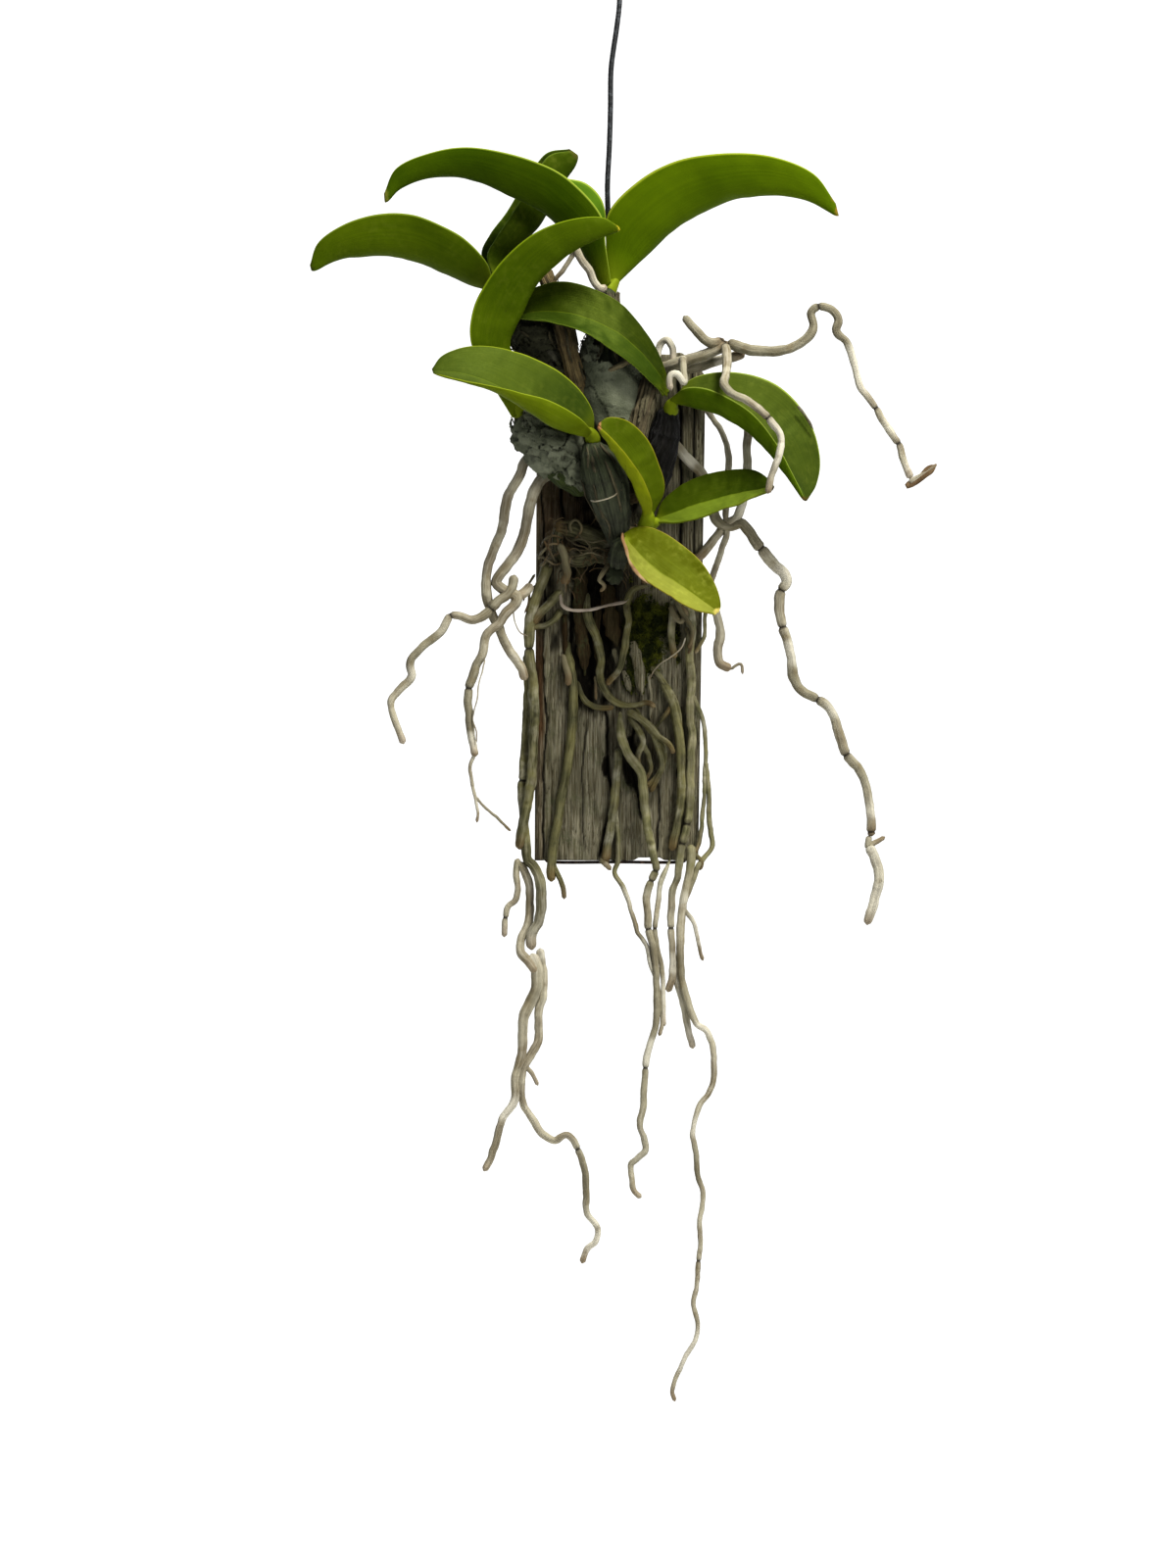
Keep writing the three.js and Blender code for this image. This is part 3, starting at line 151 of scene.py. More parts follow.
# Wires and the tie
HANGER_SHANK = [(-2, 196), (-2.5, 215), (-4.8, 265), (-4, 299), (-3.2, 323), (0, 351), (-0.4, 358)]
STAPLE = [(-30.5, 6, 7), (-30.5, 6, 2), (-29.6, 6, -0.6), (-27, 6, -1.1), (0, 6, -1.1),
    (24, 6, -1.1), (26.6, 6, -0.6), (27.5, 6, 2), (27.5, 6, 7)]
TIE = [(-24, -6, 108), (-23.4, -8, 103.8), (-20.4, -8.6, 101.8), (-12.8, -9, 101.6),
    (-4.8, -9, 103.6), (2.4, -8.6, 105), (3.6, -6, 106)]

# Stage and camera
FLOOR_RADIUS = 0.9
FLOOR_HEIGHT = -0.78
ROOM_LIGHT = 0.33
PLANT_MIDDLE = (0, 0, -0.25)
CAMERA_SENSOR = 36
CAMERA_LENS = 281.25
CAMERA_PLACE = (-0.0128, -5.011, -0.3481)

RHIZOME_STEMS = [
    [(-2, -6, 116, 3.6), (0, -8, 124, 4.2), (-1, -7.4, 134, 4.6), (-5, -5.4, 144, 5), (-8, -5, 154, 5),
        (-9, -5, 166, 5), (-8, -5, 178, 5), (-10, -5, 188, 4)],
    [(-1, -9, 127, 4), (-9, -9, 131, 4), (-18, -9, 134, 3.6), (-27, -8, 136, 3)],
    [(-1, -9, 122, 3.6), (-9, -8, 124, 3.4), (-17, -9, 122, 3), (-24, -7, 126, 2.6)],
    [(-1, -9, 131, 4), (5, -11, 132, 3.4), (9, -13, 131, 3)],
    [(-5, -6, 146, 4.4), (3, -7, 149, 4.4), (10, -10, 150, 4)],
    [(-24, -8, 136, 2.4), (-26, -9, 128, 1.8), (-22, -10, 118, 1.5), (-21, -10, 112, 1.2)],
]

BULBS = {
    "bulb_center_back": [(-3, -9, 158, 5), (-3, -13, 168, 9), (-3, -14, 182, 11.2), (-2.6, -13.5, 198, 11.4),
        (-4, -13, 212, 9), (-5, -12.5, 223, 5.5), (-5.4, -11.6, 233, 3)],
    "bulb_left": [(-12.6, -10, 149.6, 5), (-18.6, -13, 158, 8.6), (-26.4, -14.6, 168, 10.2),
        (-34, -14.6, 178, 9.2), (-39.4, -14.6, 185, 5.4)],
    "bulb_upper_left": [(-12, -8, 184, 4.5), (-18, -9, 190, 7.5), (-27, -10, 203, 9.2), (-37, -9, 215, 8.4),
        (-46, -7, 225, 5.6), (-52, -5.4, 233.4, 3.2)],
    "cane_brown": [(-14, -17, 184, 3.8), (-17.4, -20, 195, 4.2), (-20.4, -21, 206, 3.4),
        (-22.6, -19.6, 216, 4), (-26.6, -15.4, 229, 3.2), (-31, -11, 240, 3.4)],
    "bulb_dark": [(12, -13, 147, 4), (14, -15, 156, 6.8), (16.5, -16, 167, 7.4), (19, -17, 177, 5.6),
        (19.8, -18, 184.5, 3)],
    "cane_tan": [(5, -21, 158, 2.6), (6.5, -25, 170, 3.8), (9.5, -23, 183, 4.2), (13, -19, 196, 3.4),
        (15, -15, 203, 2.4)],
    "bulb_front": [(-1, -14, 129, 3.6), (-2, -21, 138, 6.2), (-5, -25, 150, 9), (-8, -26.5, 160, 8.2),
        (-11, -26.5, 168, 4), (-11.4, -26.5, 170.5, 3)],
    "bulb_small_right": [(9, -13, 128, 2.8), (10.5, -18, 132, 3.8), (12.4, -24.2, 137.2, 2.8)],
    "bulb_small_front": [(-1, -12, 119, 2.8), (-0.6, -18, 122, 3.8), (0.2, -23.5, 127.4, 3.4),
        (1, -26, 130, 2.6)],
    "stub_cut": [(-2, -10, 115.5, 3), (-2, -15, 115.5, 3.2), (-1.8, -19, 116, 3.1)],
}

LEAVES = {"leaf_top_left": {
    "near": [(-3.4, -15, 235), (-5.5, -20, 249), (-7, -22, 261), (-20.8, -22, 276.8), (-34.8, -22, 284),
        (-60.8, -21, 289.6), (-77, -20, 287.4), (-91, -18, 281), (-95.8, -16.6, 271)],
    "keel": [(-6.4, -13.5, 232.6), (-11, -13, 241), (-20.8, -13, 254.8), (-32.8, -14, 264.8),
        (-42.8, -14, 270), (-59.6, -15, 277.6), (-76.8, -16, 278.2), (-90, -16, 273.4), (-95.4, -16, 267.4)],
    "far": [(-8.4, -11, 235), (-6.6, -6, 250), (-5.6, -5, 263.6), (-8, -5, 270.6), (-14, -5, 276),
        (-23, -6, 278), (-40, -7, 283), (-60, -8, 287), (-77, -11, 285), (-91, -14, 279), (-95, -15, 270)],
}, "leaf_top_right": {
    "near": [(-4.6, -9.4, 235.4), (-5.4, -12, 249), (-4.8, -16, 262.6), (7.2, -19, 275.6), (23.2, -21, 284),
        (43.2, -21, 287.2), (63.2, -20, 285.6), (79.2, -18, 278.8), (88, -16.4, 267)],
    "keel": [(-3, -9.2, 233.4), (1.2, -8, 238), (11.2, -8, 247.6), (27.2, -10, 260.8), (47.2, -12, 269.6),
        (63.2, -14, 271.6), (79.2, -15, 268), (89.2, -16, 262)],
    "far": [(-4.4, -7, 235.6), (-3, -3, 249), (2, 0, 262), (10, 0, 273), (24, 0, 280), (43, -3, 284),
        (62, -7, 283), (78, -12, 277), (88.4, -15, 265)],
}, "leaf_left": {
    "near": [(-51.6, -8.4, 235.6), (-54, -14, 243), (-62.8, -18, 252.4), (-72.8, -19, 258),
        (-84.8, -19, 262.4), (-98.8, -19, 262.4), (-112.8, -18, 258), (-122.8, -16, 250.8),
        (-126, -14.4, 242)],
    "keel": [(-53, -6.6, 233), (-62.8, -8, 235.6), (-70.8, -9, 239.8), (-84.8, -10, 245.2),
        (-98.8, -12, 246.8), (-114.8, -13, 244.8), (-125.4, -13.6, 239.8)],
    "far": [(-54.4, -4.6, 236), (-62, -1, 247), (-73, 0, 254), (-85, 0, 259), (-99, -2, 259.4),
        (-112, -6, 255.4), (-122, -10, 249), (-125.6, -12.6, 241.6)],
}, "leaf_back": {
    "near": [(-50.6, -5.2, 235.6), (-54, -3, 246), (-50.8, -2, 253), (-44.8, 0, 262), (-34.8, 2, 278.8),
        (-28.8, 3, 287.4), (-19.4, 5, 289.6)],
    "keel": [(-49.8, -3, 233.6), (-44.8, 2, 247.6), (-34.8, 5, 257), (-30.6, 6, 264), (-22.8, 7, 278),
        (-18.8, 7, 284), (-17.2, 6.6, 288)],
    "far": [(-52, -1.6, 235.8), (-56.4, 5, 247.6), (-52.8, 8, 255.6), (-46, 10, 265), (-35.6, 11, 282),
        (-29.4, 10.4, 289), (-20.4, 8, 290.4)],
}, "leaf_arch": {
    "near": [(-43.6, -22, 179.6), (-50.8, -29, 191.6), (-60.4, -36, 210), (-59.4, -38, 222.8),
        (-54.8, -39, 232.8), (-46.8, -40, 243.6), (-34.8, -41, 253.6), (-20.8, -41, 259.2), (-7, -40, 260.2),
        (-0.4, -39.4, 256.6)],
    "keel": [(-40.8, -20.4, 181.6), (-42, -24, 194), (-45.2, -28, 208.8), (-42.8, -30, 216.8),
        (-38, -32, 226.8), (-30.8, -34, 237.6), (-20.8, -36, 246.8), (-8, -38, 252.8), (0.2, -38.6, 255.4)],
    "far": [(-44, -18.4, 180.8), (-51, -20, 192), (-58, -22, 210), (-57, -23, 222), (-53, -24.6, 232),
        (-45, -26, 242), (-34, -28, 251), (-20.8, -31, 257), (-7.4, -35, 259), (-0.4, -37.4, 256.4)],
}, "leaf_lower_left": {
    "near": [(-10.6, -30, 173.4), (-16.8, -40, 179.6), (-28.8, -47, 186), (-40.8, -50, 189),
        (-50.8, -51, 191.4), (-64.8, -50, 194), (-75.4, -47.4, 196.8)],
    "keel": [(-12.4, -29, 172), (-24.8, -39, 175.6), (-36.8, -43, 183), (-50.8, -45, 191.8),
        (-62.8, -46, 196), (-75.6, -46.6, 197.6)],
    "far": [(-10.4, -26.6, 174.4), (-10.6, -28, 181), (-14.8, -29, 189), (-22.8, -31, 196.8),
        (-34.8, -34, 203.4), (-48.8, -36, 207.6), (-60.8, -39, 208), (-72, -43, 204), (-76, -45.6, 198.6)],
}, "leaf_center": {
    "near": [(17.8, -22.6, 189), (15.2, -27, 191.6), (7.2, -33, 198.8), (-4.8, -36, 208), (-16.8, -35, 214.8),
        (-28.8, -30, 218.6), (-40.6, -26.6, 219.6)],
    "keel": [(18.8, -19.8, 188.4), (17.2, -24, 194), (7.2, -28.6, 206), (-4.8, -30, 215.4),
        (-20.8, -29, 221.2), (-32.8, -26.6, 222.2), (-41, -25.8, 220.6)],
    "far": [(20, -21, 190.4), (18.4, -22, 199.6), (14.4, -22, 208.8), (7.2, -22, 218.8), (-0.8, -22.6, 226.8),
        (-10.8, -23, 232), (-20.8, -23.4, 234.8), (-28.8, -23.6, 234.4), (-36.8, -24, 230.8),
        (-41.4, -25, 221.8)],
}, "leaf_right": {
    "near": [(20.8, -22.4, 187.6), (27, -29, 191.6), (35.2, -33, 191.2), (45.2, -35, 186.8),
        (55.2, -36, 179.6), (63.2, -36, 169.4), (71.4, -34, 154), (75, -32.6, 146.6)],
    "keel": [(21.6, -20.4, 186.4), (31.2, -24, 184.6), (43.2, -26.6, 181.2), (53.2, -28, 174.8),
        (62.8, -29, 166), (68.6, -30, 157.6), (75.4, -31.8, 145.6)],
    "far": [(22.6, -18.6, 188.2), (29, -17, 195.4), (41.2, -16, 198.4), (55.2, -16, 196.8),
        (67.2, -17, 190.8), (77.2, -19, 178.8), (81.6, -22, 162.8), (80, -26, 152.4), (76.2, -30.6, 146)],
}, "leaf_small_center": {
    "near": [(12.6, -27, 138.4), (13.2, -33, 144.8), (9.2, -38, 154.8), (3.2, -41, 163.6), (-4, -42.6, 171.6),
        (-8.2, -42.4, 175.4)],
    "keel": [(11, -26, 137.6), (9.4, -31, 144.8), (5.2, -35, 154.8), (-0.8, -38, 164.8), (-6.4, -41, 172.4),
        (-8.8, -41.6, 175.8)],
    "far": [(13.2, -24.2, 139.4), (18.4, -27, 150.8), (16, -31, 160.8), (11.2, -34, 170.8), (3.2, -37, 178),
        (-4.8, -40, 179.2), (-8.6, -41, 176.8)],
}, "leaf_small_right": {
    "near": [(15, -25.6, 136.8), (27.2, -33, 137.2), (38.4, -36, 140.8), (51.2, -37, 145.6), (62, -36, 150)],
    "keel": [(14.8, -23.8, 137.6), (24, -27, 141), (33.2, -29, 144), (49.2, -31.4, 148.2),
        (62.4, -35, 150.6)],
    "far": [(15.2, -22.4, 138.8), (16.8, -21.6, 144.8), (23.2, -21.4, 150.8), (33.2, -22, 156),
        (45.2, -24, 158.4), (55.2, -27, 158), (60.6, -31, 154.4), (62.8, -34, 151.2)],
}, "leaf_bottom": {
    "near": [(1.4, -29.4, 130.2), (3.2, -34, 122.8), (9.2, -39, 114), (19.2, -43, 108), (29.2, -44, 102),
        (38.6, -42, 99.2)],
    "keel": [(2.2, -28.2, 131), (6, -31.6, 126), (13.2, -35, 118.8), (27.2, -38, 108.8), (39.4, -41, 100)],
    "far": [(1.8, -26.8, 132.4), (6, -27, 135), (13.2, -28, 134.8), (23.2, -30, 129.6), (33.2, -33, 120.8),
        (39.2, -36, 110.8), (41, -39, 103), (40.2, -40.4, 100.4)],
}}

ROOT_BUNCHES = {"roots_left": [
    (2.1, 1.9, [(-27, -6, 161), (-36.4, -8, 164), (-41, -9, 156), (-45.2, -10, 148), (-48, -11, 134),
        (-52, -12, 124.4), (-54.2, -12, 116), (-54.2, -12, 108.4), (-52.4, -11, 102), (-49.2, -11, 94.4),
        (-45.2, -9, 86), (-40.4, -7, 78.4), (-38.4, -5, 73)]),
    (2.4, 1.7, [(-25, -5, 159), (-32.4, -7, 154.4), (-36.4, -9, 144.8), (-39.2, -11, 132),
        (-42.8, -12, 123.2), (-48.4, -13, 116.8), (-50, -13, 112.6), (-47, -13, 109.6), (-41.6, -13, 107.2),
        (-42.4, -13, 104), (-46, -13, 100.8), (-49.2, -13, 96), (-53.6, -13, 92.4), (-55.6, -12, 84.8),
        (-59.6, -12, 75.2), (-61.2, -12, 69.6), (-61.2, -12, 56.8), (-58.8, -12, 42)]),
    (2.1, 1.4, [(-42.4, -13, 116), (-45.2, -14, 108.4), (-49.2, -15, 105.2), (-54.8, -16, 99.6),
        (-60, -17, 97.6), (-64.8, -17, 99), (-68.8, -17, 99), (-72.8, -17, 92.4), (-80.4, -18, 86.4),
        (-85.2, -18, 80.4), (-84.4, -18, 74.8), (-90, -18, 68.8), (-93, -18, 64.6), (-91.6, -18, 56.8),
        (-87.6, -18, 47.2)]),
    (2.2, 1.8, [(-35.6, -6, 112), (-39, -9, 108.6), (-42.4, -12, 107)]),
    (0.8, 0.6, [(-59, -12, 43), (-60.8, -12, 38), (-60.4, -12, 33.2), (-58.4, -12, 24.8), (-57.6, -12, 19),
        (-58, -12, 15)]),
    (0.6, 0.6, [(-58.6, -12, 25.6), (-55.2, -11, 21.6), (-49.2, -9, 16.4), (-44, -6, 11.6)]),
], "roots_left_edge": [
    (2.2, 2, [(-29, -4.4, 121), (-31, -4.6, 115), (-33.2, -4.4, 109), (-35.6, -3.6, 102), (-36.6, -3, 92.4),
        (-36.6, -3, 82.8), (-35, -3.2, 70), (-35.2, -3, 47.6), (-36.2, -3, 30.8), (-38.4, -2, 18.8),
        (-40.8, 0, 4)]),
    (1.8, 2.1, [(-37.4, -2, 84), (-37.4, 0.6, 72), (-38.2, 1, 50), (-39.4, 1, 30), (-38.8, 0.6, 12),
        (-37.4, -1, 0), (-35, -2, -3), (-32.4, -3, -9), (-32, -3, -17.2), (-32.8, -3, -25.2),
        (-35.6, -3, -31), (-35.8, -3, -37)]),
    (2, 1.8, [(-23.2, -3.4, 109.6), (-27, -3.6, 106), (-31, -3.8, 102), (-35.6, -3.4, 96)]),
], "roots_bottom_left": [
    (1.5, 1.2, [(-41.2, 0, 0.6), (-42, 0, -4), (-41.6, 0, -13), (-42.8, 0, -17), (-45.4, 0, -19),
        (-46.8, 0, -24), (-47.2, 0, -31.6)]),
    (1.8, 1.9, [(-41, 0, -1), (-38.6, 0, -5), (-36.6, 0.6, -12), (-36.4, 1, -20), (-37.4, 0, -27),
        (-40.2, -2, -33), (-40, -3, -38), (-36.4, -4, -42), (-33.4, -4, -46)]),
    (2.6, 1.3, [(-35.8, -3, -38.4), (-33.8, -3, -44.4), (-33.6, -3, -51.6), (-36, -3, -58),
        (-38.8, -4, -63.6), (-39.4, -4, -70.8), (-39.6, -4, -78), (-42.4, -4, -88.4), (-43, -4, -98.8),
        (-47.6, -4, -105.6), (-50.4, -4, -115.2), (-53.2, -4, -123.6), (-55.2, -4, -127)]),
    (1.8, 1.2, [(-32.4, -1, -36), (-31.2, -1, -46), (-31.6, -1, -56.8), (-32.8, -1, -62), (-33, -1, -73.6),
        (-36, -2, -79.6), (-39, -2.4, -85.2), (-40, -2, -92), (-39.2, 0, -100), (-35.4, 0, -106),
        (-31, 0, -112), (-26.8, 0, -114.6), (-21.4, 0, -112.6), (-17, 0, -118), (-14, 0, -127.2),
        (-13.6, 0, -136.4), (-13.2, 0, -144.4), (-9, 0, -151), (-10, 0, -156), (-13.2, 0, -159),
        (-15.2, 0, -164.8)]),
    (1.1, 0.8, [(-38.4, -2, -84), (-36, -2, -87), (-33.2, -2, -92.4)]),
], "root_mossy": [
    (2, 1.8, [(-21, -2, 89), (-20.4, -2, 80), (-19, -2, 70.8), (-19.6, -2, 52.4), (-22, -2, 34),
        (-24.8, -2, 18.8), (-27.2, -2.4, 3.6), (-28, -3, -9)]),
    (1.2, 1, [(-27, -3, 2), (-25.6, -3, -5), (-23, -3, -10.8), (-22.4, -3, -16)]),
], "roots_front": [
    (2, 1.1, [(-12.8, -5, 109), (-12.8, -3.4, 99.2), (-10, -3.2, 92), (-7.4, -3.2, 82.8), (-8.2, -3.2, 75.6),
        (-6.2, -3.2, 69.6), (-1.2, -3.4, 63.8), (5.6, -4, 62.8), (11.6, -5, 64), (14.6, -6, 62.2)]),
    (1.9, 1.3, [(11.6, -5, 111.6), (5.6, -4.6, 110), (3, -4, 105.2), (3.6, -3.4, 97.6), (2.4, -3.2, 88.8),
        (0.2, -3.2, 78), (-5.4, -3.2, 71)]),
    (1.3, 1.2, [(-17, -2.6, 73), (-14.8, -2.6, 66), (-10, -2.6, 62.4), (-2, -3, 62)]),
    (1.4, 1.2, [(5.6, -3.4, 62.6), (12.8, -3, 52.6), (17.6, -3, 46), (18, -3, 39.6), (14.6, -3, 33),
        (9.6, -3, 29)]),
    (1.9, 1.7, [(15.2, -3.2, 75.6), (20.4, -3.4, 67.2), (23.2, -3.2, 57), (25.2, -3.2, 40.4),
        (24.8, -3.2, 22), (21.4, -3, 3.6)]),
    (1.2, 1.1, [(14, -3.2, 53), (18, -3.2, 58), (21.4, -3.2, 63)]),
], "roots_bottom_center": [
    (2, 1.2, [(0.4, -6.4, 60), (0.2, -6.8, 54), (2.6, -6.6, 44.4), (8.8, -7, 35), (9.8, -7, 27),
        (11.6, -6, 12.8), (14.2, -5, 0.4), (15, -5, -3.4), (12.8, -5, -9), (11, -5, -15), (11.6, -5, -22.4),
        (12, -5, -28), (13.6, -5, -35.2), (14.8, -5, -46), (15.2, -5, -56.8), (14.8, -5, -67.2),
        (12.8, -5, -74.4), (10.8, -5, -82), (10.2, -5, -90), (10, -5, -99.6), (8.2, -5, -108), (10, -5, -114),
        (10.6, -5, -119), (7.6, -5, -121.6), (5, -5, -124), (5, -5, -130), (5.8, -5, -135),
        (8.8, -5, -138)]),
    (1.1, 0.8, [(-2, -2.4, 28), (-0.8, -2.4, 9.6), (-0.6, -2.4, -0.8), (-2, -2.4, -5), (1.2, -3, -10.8),
        (4, -3, -18), (6, -3, -24.8), (7.8, -4, -30), (11.2, -4, -35.6), (12.8, -4, -43.6), (15.4, -4, -50),
        (16.4, -4, -58), (17.4, -4, -66), (16.2, -4, -72.4)]),
    (1.6, 1.3, [(-1.6, -2.6, 16), (-4.2, -2.6, 12), (-5, -2.6, 5), (-5.6, -2.6, -3)]),
    (1.2, 0.9, [(20.8, -3, 0.6), (19.6, -3.4, -3), (17, -4, -9), (15.8, -4.4, -18), (14.6, -4.6, -31.6),
        (16.8, -4.4, -42.4), (17.8, -4, -50.8), (18, -4, -60), (18.2, -4, -68)]),
], "roots_right_edge": [
    (1.6, 1.5, [(22.4, -3, 106), (21.6, -3, 98), (21.4, -3, 90.8), (22.8, -3, 82)]),
    (1.9, 1.5, [(22.4, -3, 105), (27.6, -3.2, 104), (29.4, -3.4, 92.8), (28.6, -3.4, 86), (29.2, -3.4, 70.8),
        (28.8, -3.4, 58.4), (30, -3.4, 50.8), (29.2, -3.4, 43), (29, -3.4, 28), (28, -3.4, 15.6),
        (26, -3.4, 6.4), (24.6, -3.4, 0), (24, -3.4, -6), (21.6, -3.4, -13.2), (21.2, -3.4, -28),
        (21.8, -3.4, -46), (19.8, -3.4, -54)]),
    (0.9, 0.8, [(35.4, -3, 103), (35, -3, 98.8), (34.4, -3, 90.8), (31, -3.4, 84)]),
    (0.9, 0.9, [(30, -4, 67), (34.4, -2.4, 55.6), (35.2, -1, 45.2), (34.6, -1.4, 28), (33, -2.6, 9),
        (31, -3, 2)]),
    (1, 1.1, [(35.4, -1, 40), (36.4, -1, 30), (36.8, -1, 15.6), (37.6, -2, 5), (33.4, -3, -0.6),
        (29.6, -3.4, -9), (26, -3.6, -18)]),
    (2, 0.9, [(29.4, -3.6, 6), (29, -3.6, -3), (27.4, -3.6, -11), (25.8, -3.6, -18), (25, -4, -28),
        (24.9, -4, -42.4), (25.8, -4, -49.6), (27.8, -5, -58), (31.4, -6, -66.4), (35.4, -6, -70),
        (38, -6, -77), (38.6, -6, -88), (36.4, -6, -95.4), (32.4, -6, -101), (30, -6, -110.4),
        (31.4, -6, -121), (31.8, -6, -129), (34, -6, -136), (33, -6, -146), (32.8, -6, -159),
        (31.4, -6, -173), (30, -6, -181), (32, -6, -189), (31, -6, -195.6), (27, -6, -202.4),
        (23.6, -6, -209.6), (21.4, -6, -216.4), (22.6, -6, -221)]),
    (1.8, 1.4, [(23.8, -2.4, -42), (24, -2, -50), (26.4, -2, -60), (28, -2, -68), (30, -2, -77)]),
    (0.9, 0.8, [(26.4, -4, -20), (30.4, -5, -26), (32, -5, -33.6), (34, -5, -41.2)]),
], "roots_top_right": [
    (2.5, 2.3, [(15, -7, 200), (20, -11, 201), (30, -14, 204), (38.4, -15, 207), (44, -15, 210.6)]),
    (2.2, 2, [(19, -9, 198), (27.2, -9, 199.6), (39.2, -9, 203), (51.2, -9, 206.4)]),
    (2.4, 1.5, [(44, -14, 210.6), (52.4, -14, 207.8), (60.8, -14, 206.8), (70, -14, 208.4), (76, -14, 212),
        (79, -14, 217.2), (78, -14, 222.6), (81.2, -14, 225), (86, -14, 223.8), (89.2, -14, 219.6),
        (88.4, -14, 215), (92.4, -14, 210.4), (95.2, -14, 202.8), (98, -14, 192), (100.6, -14, 188.8),
        (104.4, -14, 183.6), (109.2, -14, 175.6), (113.6, -14, 169.2), (115.6, -14, 162.8),
        (118.6, -14, 155)]),
    (1.3, 0.7, [(117.6, -14, 153.6), (122.8, -14, 156.4), (129.2, -14, 160.8)]),
    (1.6, 2.6, [(26, -16, 221.2), (31.2, -16, 215.2), (35.6, -16, 210.8), (39, -15.4, 210),
        (42.4, -15, 212)]),
    (1.9, 1.4, [(42.8, -17, 210), (43.6, -22, 204), (43, -32, 197), (42.6, -40, 192), (45.6, -42, 189),
        (52.4, -42, 185.4), (60.6, -42, 178.4), (65.2, -42, 171), (64.2, -43, 163.2), (61.8, -43, 156),
        (60, -43, 148.4)]),
    (1.5, 1.3, [(26, -13, 204), (25.8, -18, 203), (25.8, -24, 199.4), (26.4, -28, 193.6), (23, -29.6, 197.4),
        (20.8, -29.4, 196.8), (20.4, -29, 193), (20.8, -29, 190.6)]),
    (1.6, 1.4, [(15, -8, 203), (16.6, -8, 210), (19, -9, 211.8), (21.6, -10, 208.6), (22, -11, 202)]),
], "roots_right": [
    (1.2, 1.2, [(32, -1, 188), (37.2, -3, 181.2), (41.2, -4, 175.2), (44, -4, 167.2), (44.4, -5, 158.8),
        (43.6, -6, 148), (43.4, -6, 138), (43.6, -6, 132.4), (41.2, -6, 124.4), (38, -6, 115.2),
        (37, -5, 110)]),
    (1.7, 1.8, [(53.4, -9, 183), (52.4, -9, 174.4), (51.8, -9, 167.2), (52.2, -9, 160), (51, -9, 150),
        (49.6, -8, 143.2), (47.6, -7, 139.4), (43.6, -5, 136.4), (40.8, -4, 133.4), (36, -2.6, 127.2),
        (31, -1.8, 121.6)]),
    (2.2, 1.7, [(21, -6, 170.6), (28, -6, 163.2), (33.6, -6, 157.6), (37, -6, 148), (38.8, -6, 139.6),
        (41.6, -6, 136.4), (46, -6, 136), (49.6, -7, 137), (52.4, -7, 134.4), (57.6, -7, 126.8),
        (62.4, -7, 120.8), (67.2, -7, 116.8), (68, -7, 113), (66, -7, 109.6), (65.2, -7, 103.2),
        (66.8, -7, 94.4), (69.6, -7, 83.6), (70.8, -7, 74.4), (74, -7, 69), (79.6, -7, 66), (85.2, -7, 62.4),
        (88.4, -7, 55.2), (92.4, -7, 43.2), (97.2, -7, 37), (100.4, -7, 30.4), (102, -7, 21.6),
        (102.8, -7, 9.6)]),
    (1.2, 0.8, [(102, -7, 10), (101.4, -7, 5), (104, -7, 7), (108.4, -7, 9.4)]),
    (2, 1.8, [(101.8, -7, 6), (104.4, -7, 0), (105.8, -7, -8), (103.6, -7, -17.6), (100.8, -7, -26.4)]),
    (1.6, 1.9, [(37, -5, 112), (38.4, -6, 104), (40.6, -6, 96), (41, -6, 91), (40.2, -6, 84.6),
        (41.4, -6, 79.6), (45.6, -6, 77.4)]),
    (0.6, 0.6, [(45, -6, 77.4), (49.4, -6, 79.8), (50.4, -6, 75.4)]),
], "old_spike": [
    (1.2, 1, [(-19, -22, 252), (-18.6, -21, 247.6), (-22, -20, 241), (-26.6, -18.4, 235.6)]),
    (1.5, 1.7, [(-18.4, -22, 250), (-15.6, -21.4, 244), (-12.4, -20, 239.6), (-10, -19, 234.6),
        (-7, -18, 231.8), (-5.8, -16.8, 233.6)]),
]}

# Small growth that only the finished surfaces have: start radius, end radius and stops
DEAD_ROOTS = [
    (1.5, 1.9, [(-24.4, -14, 128.4), (-22.8, -16, 124.4), (-21.6, -16.5, 119.6), (-21.2, -15, 116.4),
        (-22.4, -14, 114), (-23.2, -13, 112.4)]),
    (0.6, 0.5, [(-19.6, -12, 132.8), (-20, -14, 136.4), (-17.6, -15, 138.4), (-15.6, -15, 136.4),
        (-16, -14, 133.2), (-18.4, -13, 130)]),
    (1.2, 0.8, [(-4, -15, 120), (-6.4, -17, 117.2), (-8, -16, 114), (-6, -14, 111.6), (-8, -11, 109.2)]),
    (1.3, 1, [(4.8, -14, 118.8), (8, -15, 117.6), (10.4, -13, 114.8), (9.6, -10, 112.4)]),
    (1.1, 0.8, [(23.2, -6, 106), (24.8, -8, 102), (27.2, -9, 98), (29.6, -9, 94), (29.6, -8, 90),
        (28, -6, 86)]),
    (1.5, 1.2, [(20.8, -5, 103.6), (22.4, -6, 99.6), (25.2, -7, 97.2), (27.2, -8, 100.4),
        (24.8, -7, 103.6)]),
    (0.9, 0.6, [(27.2, -6, 94.8), (28.8, -7, 90.8), (29.2, -6, 86.8), (28, -4, 83.6)]),
    (1.2, 1.7, [(-23.2, -2.6, 83.6), (-22, -3.4, 79.6), (-20.8, -3.6, 74.8), (-21.2, -3, 70.8)]),
    (0.8, 0.5, [(-10, -2.6, 74.8), (-9.6, -3.2, 70.8), (-9.6, -3, 65.2)]),
    (1.4, 1.2, [(-8.4, -24, 197.6), (-4.8, -26, 198.4), (-0.8, -27, 200), (3.2, -27, 202),
        (7.2, -25, 204.4)]),
]
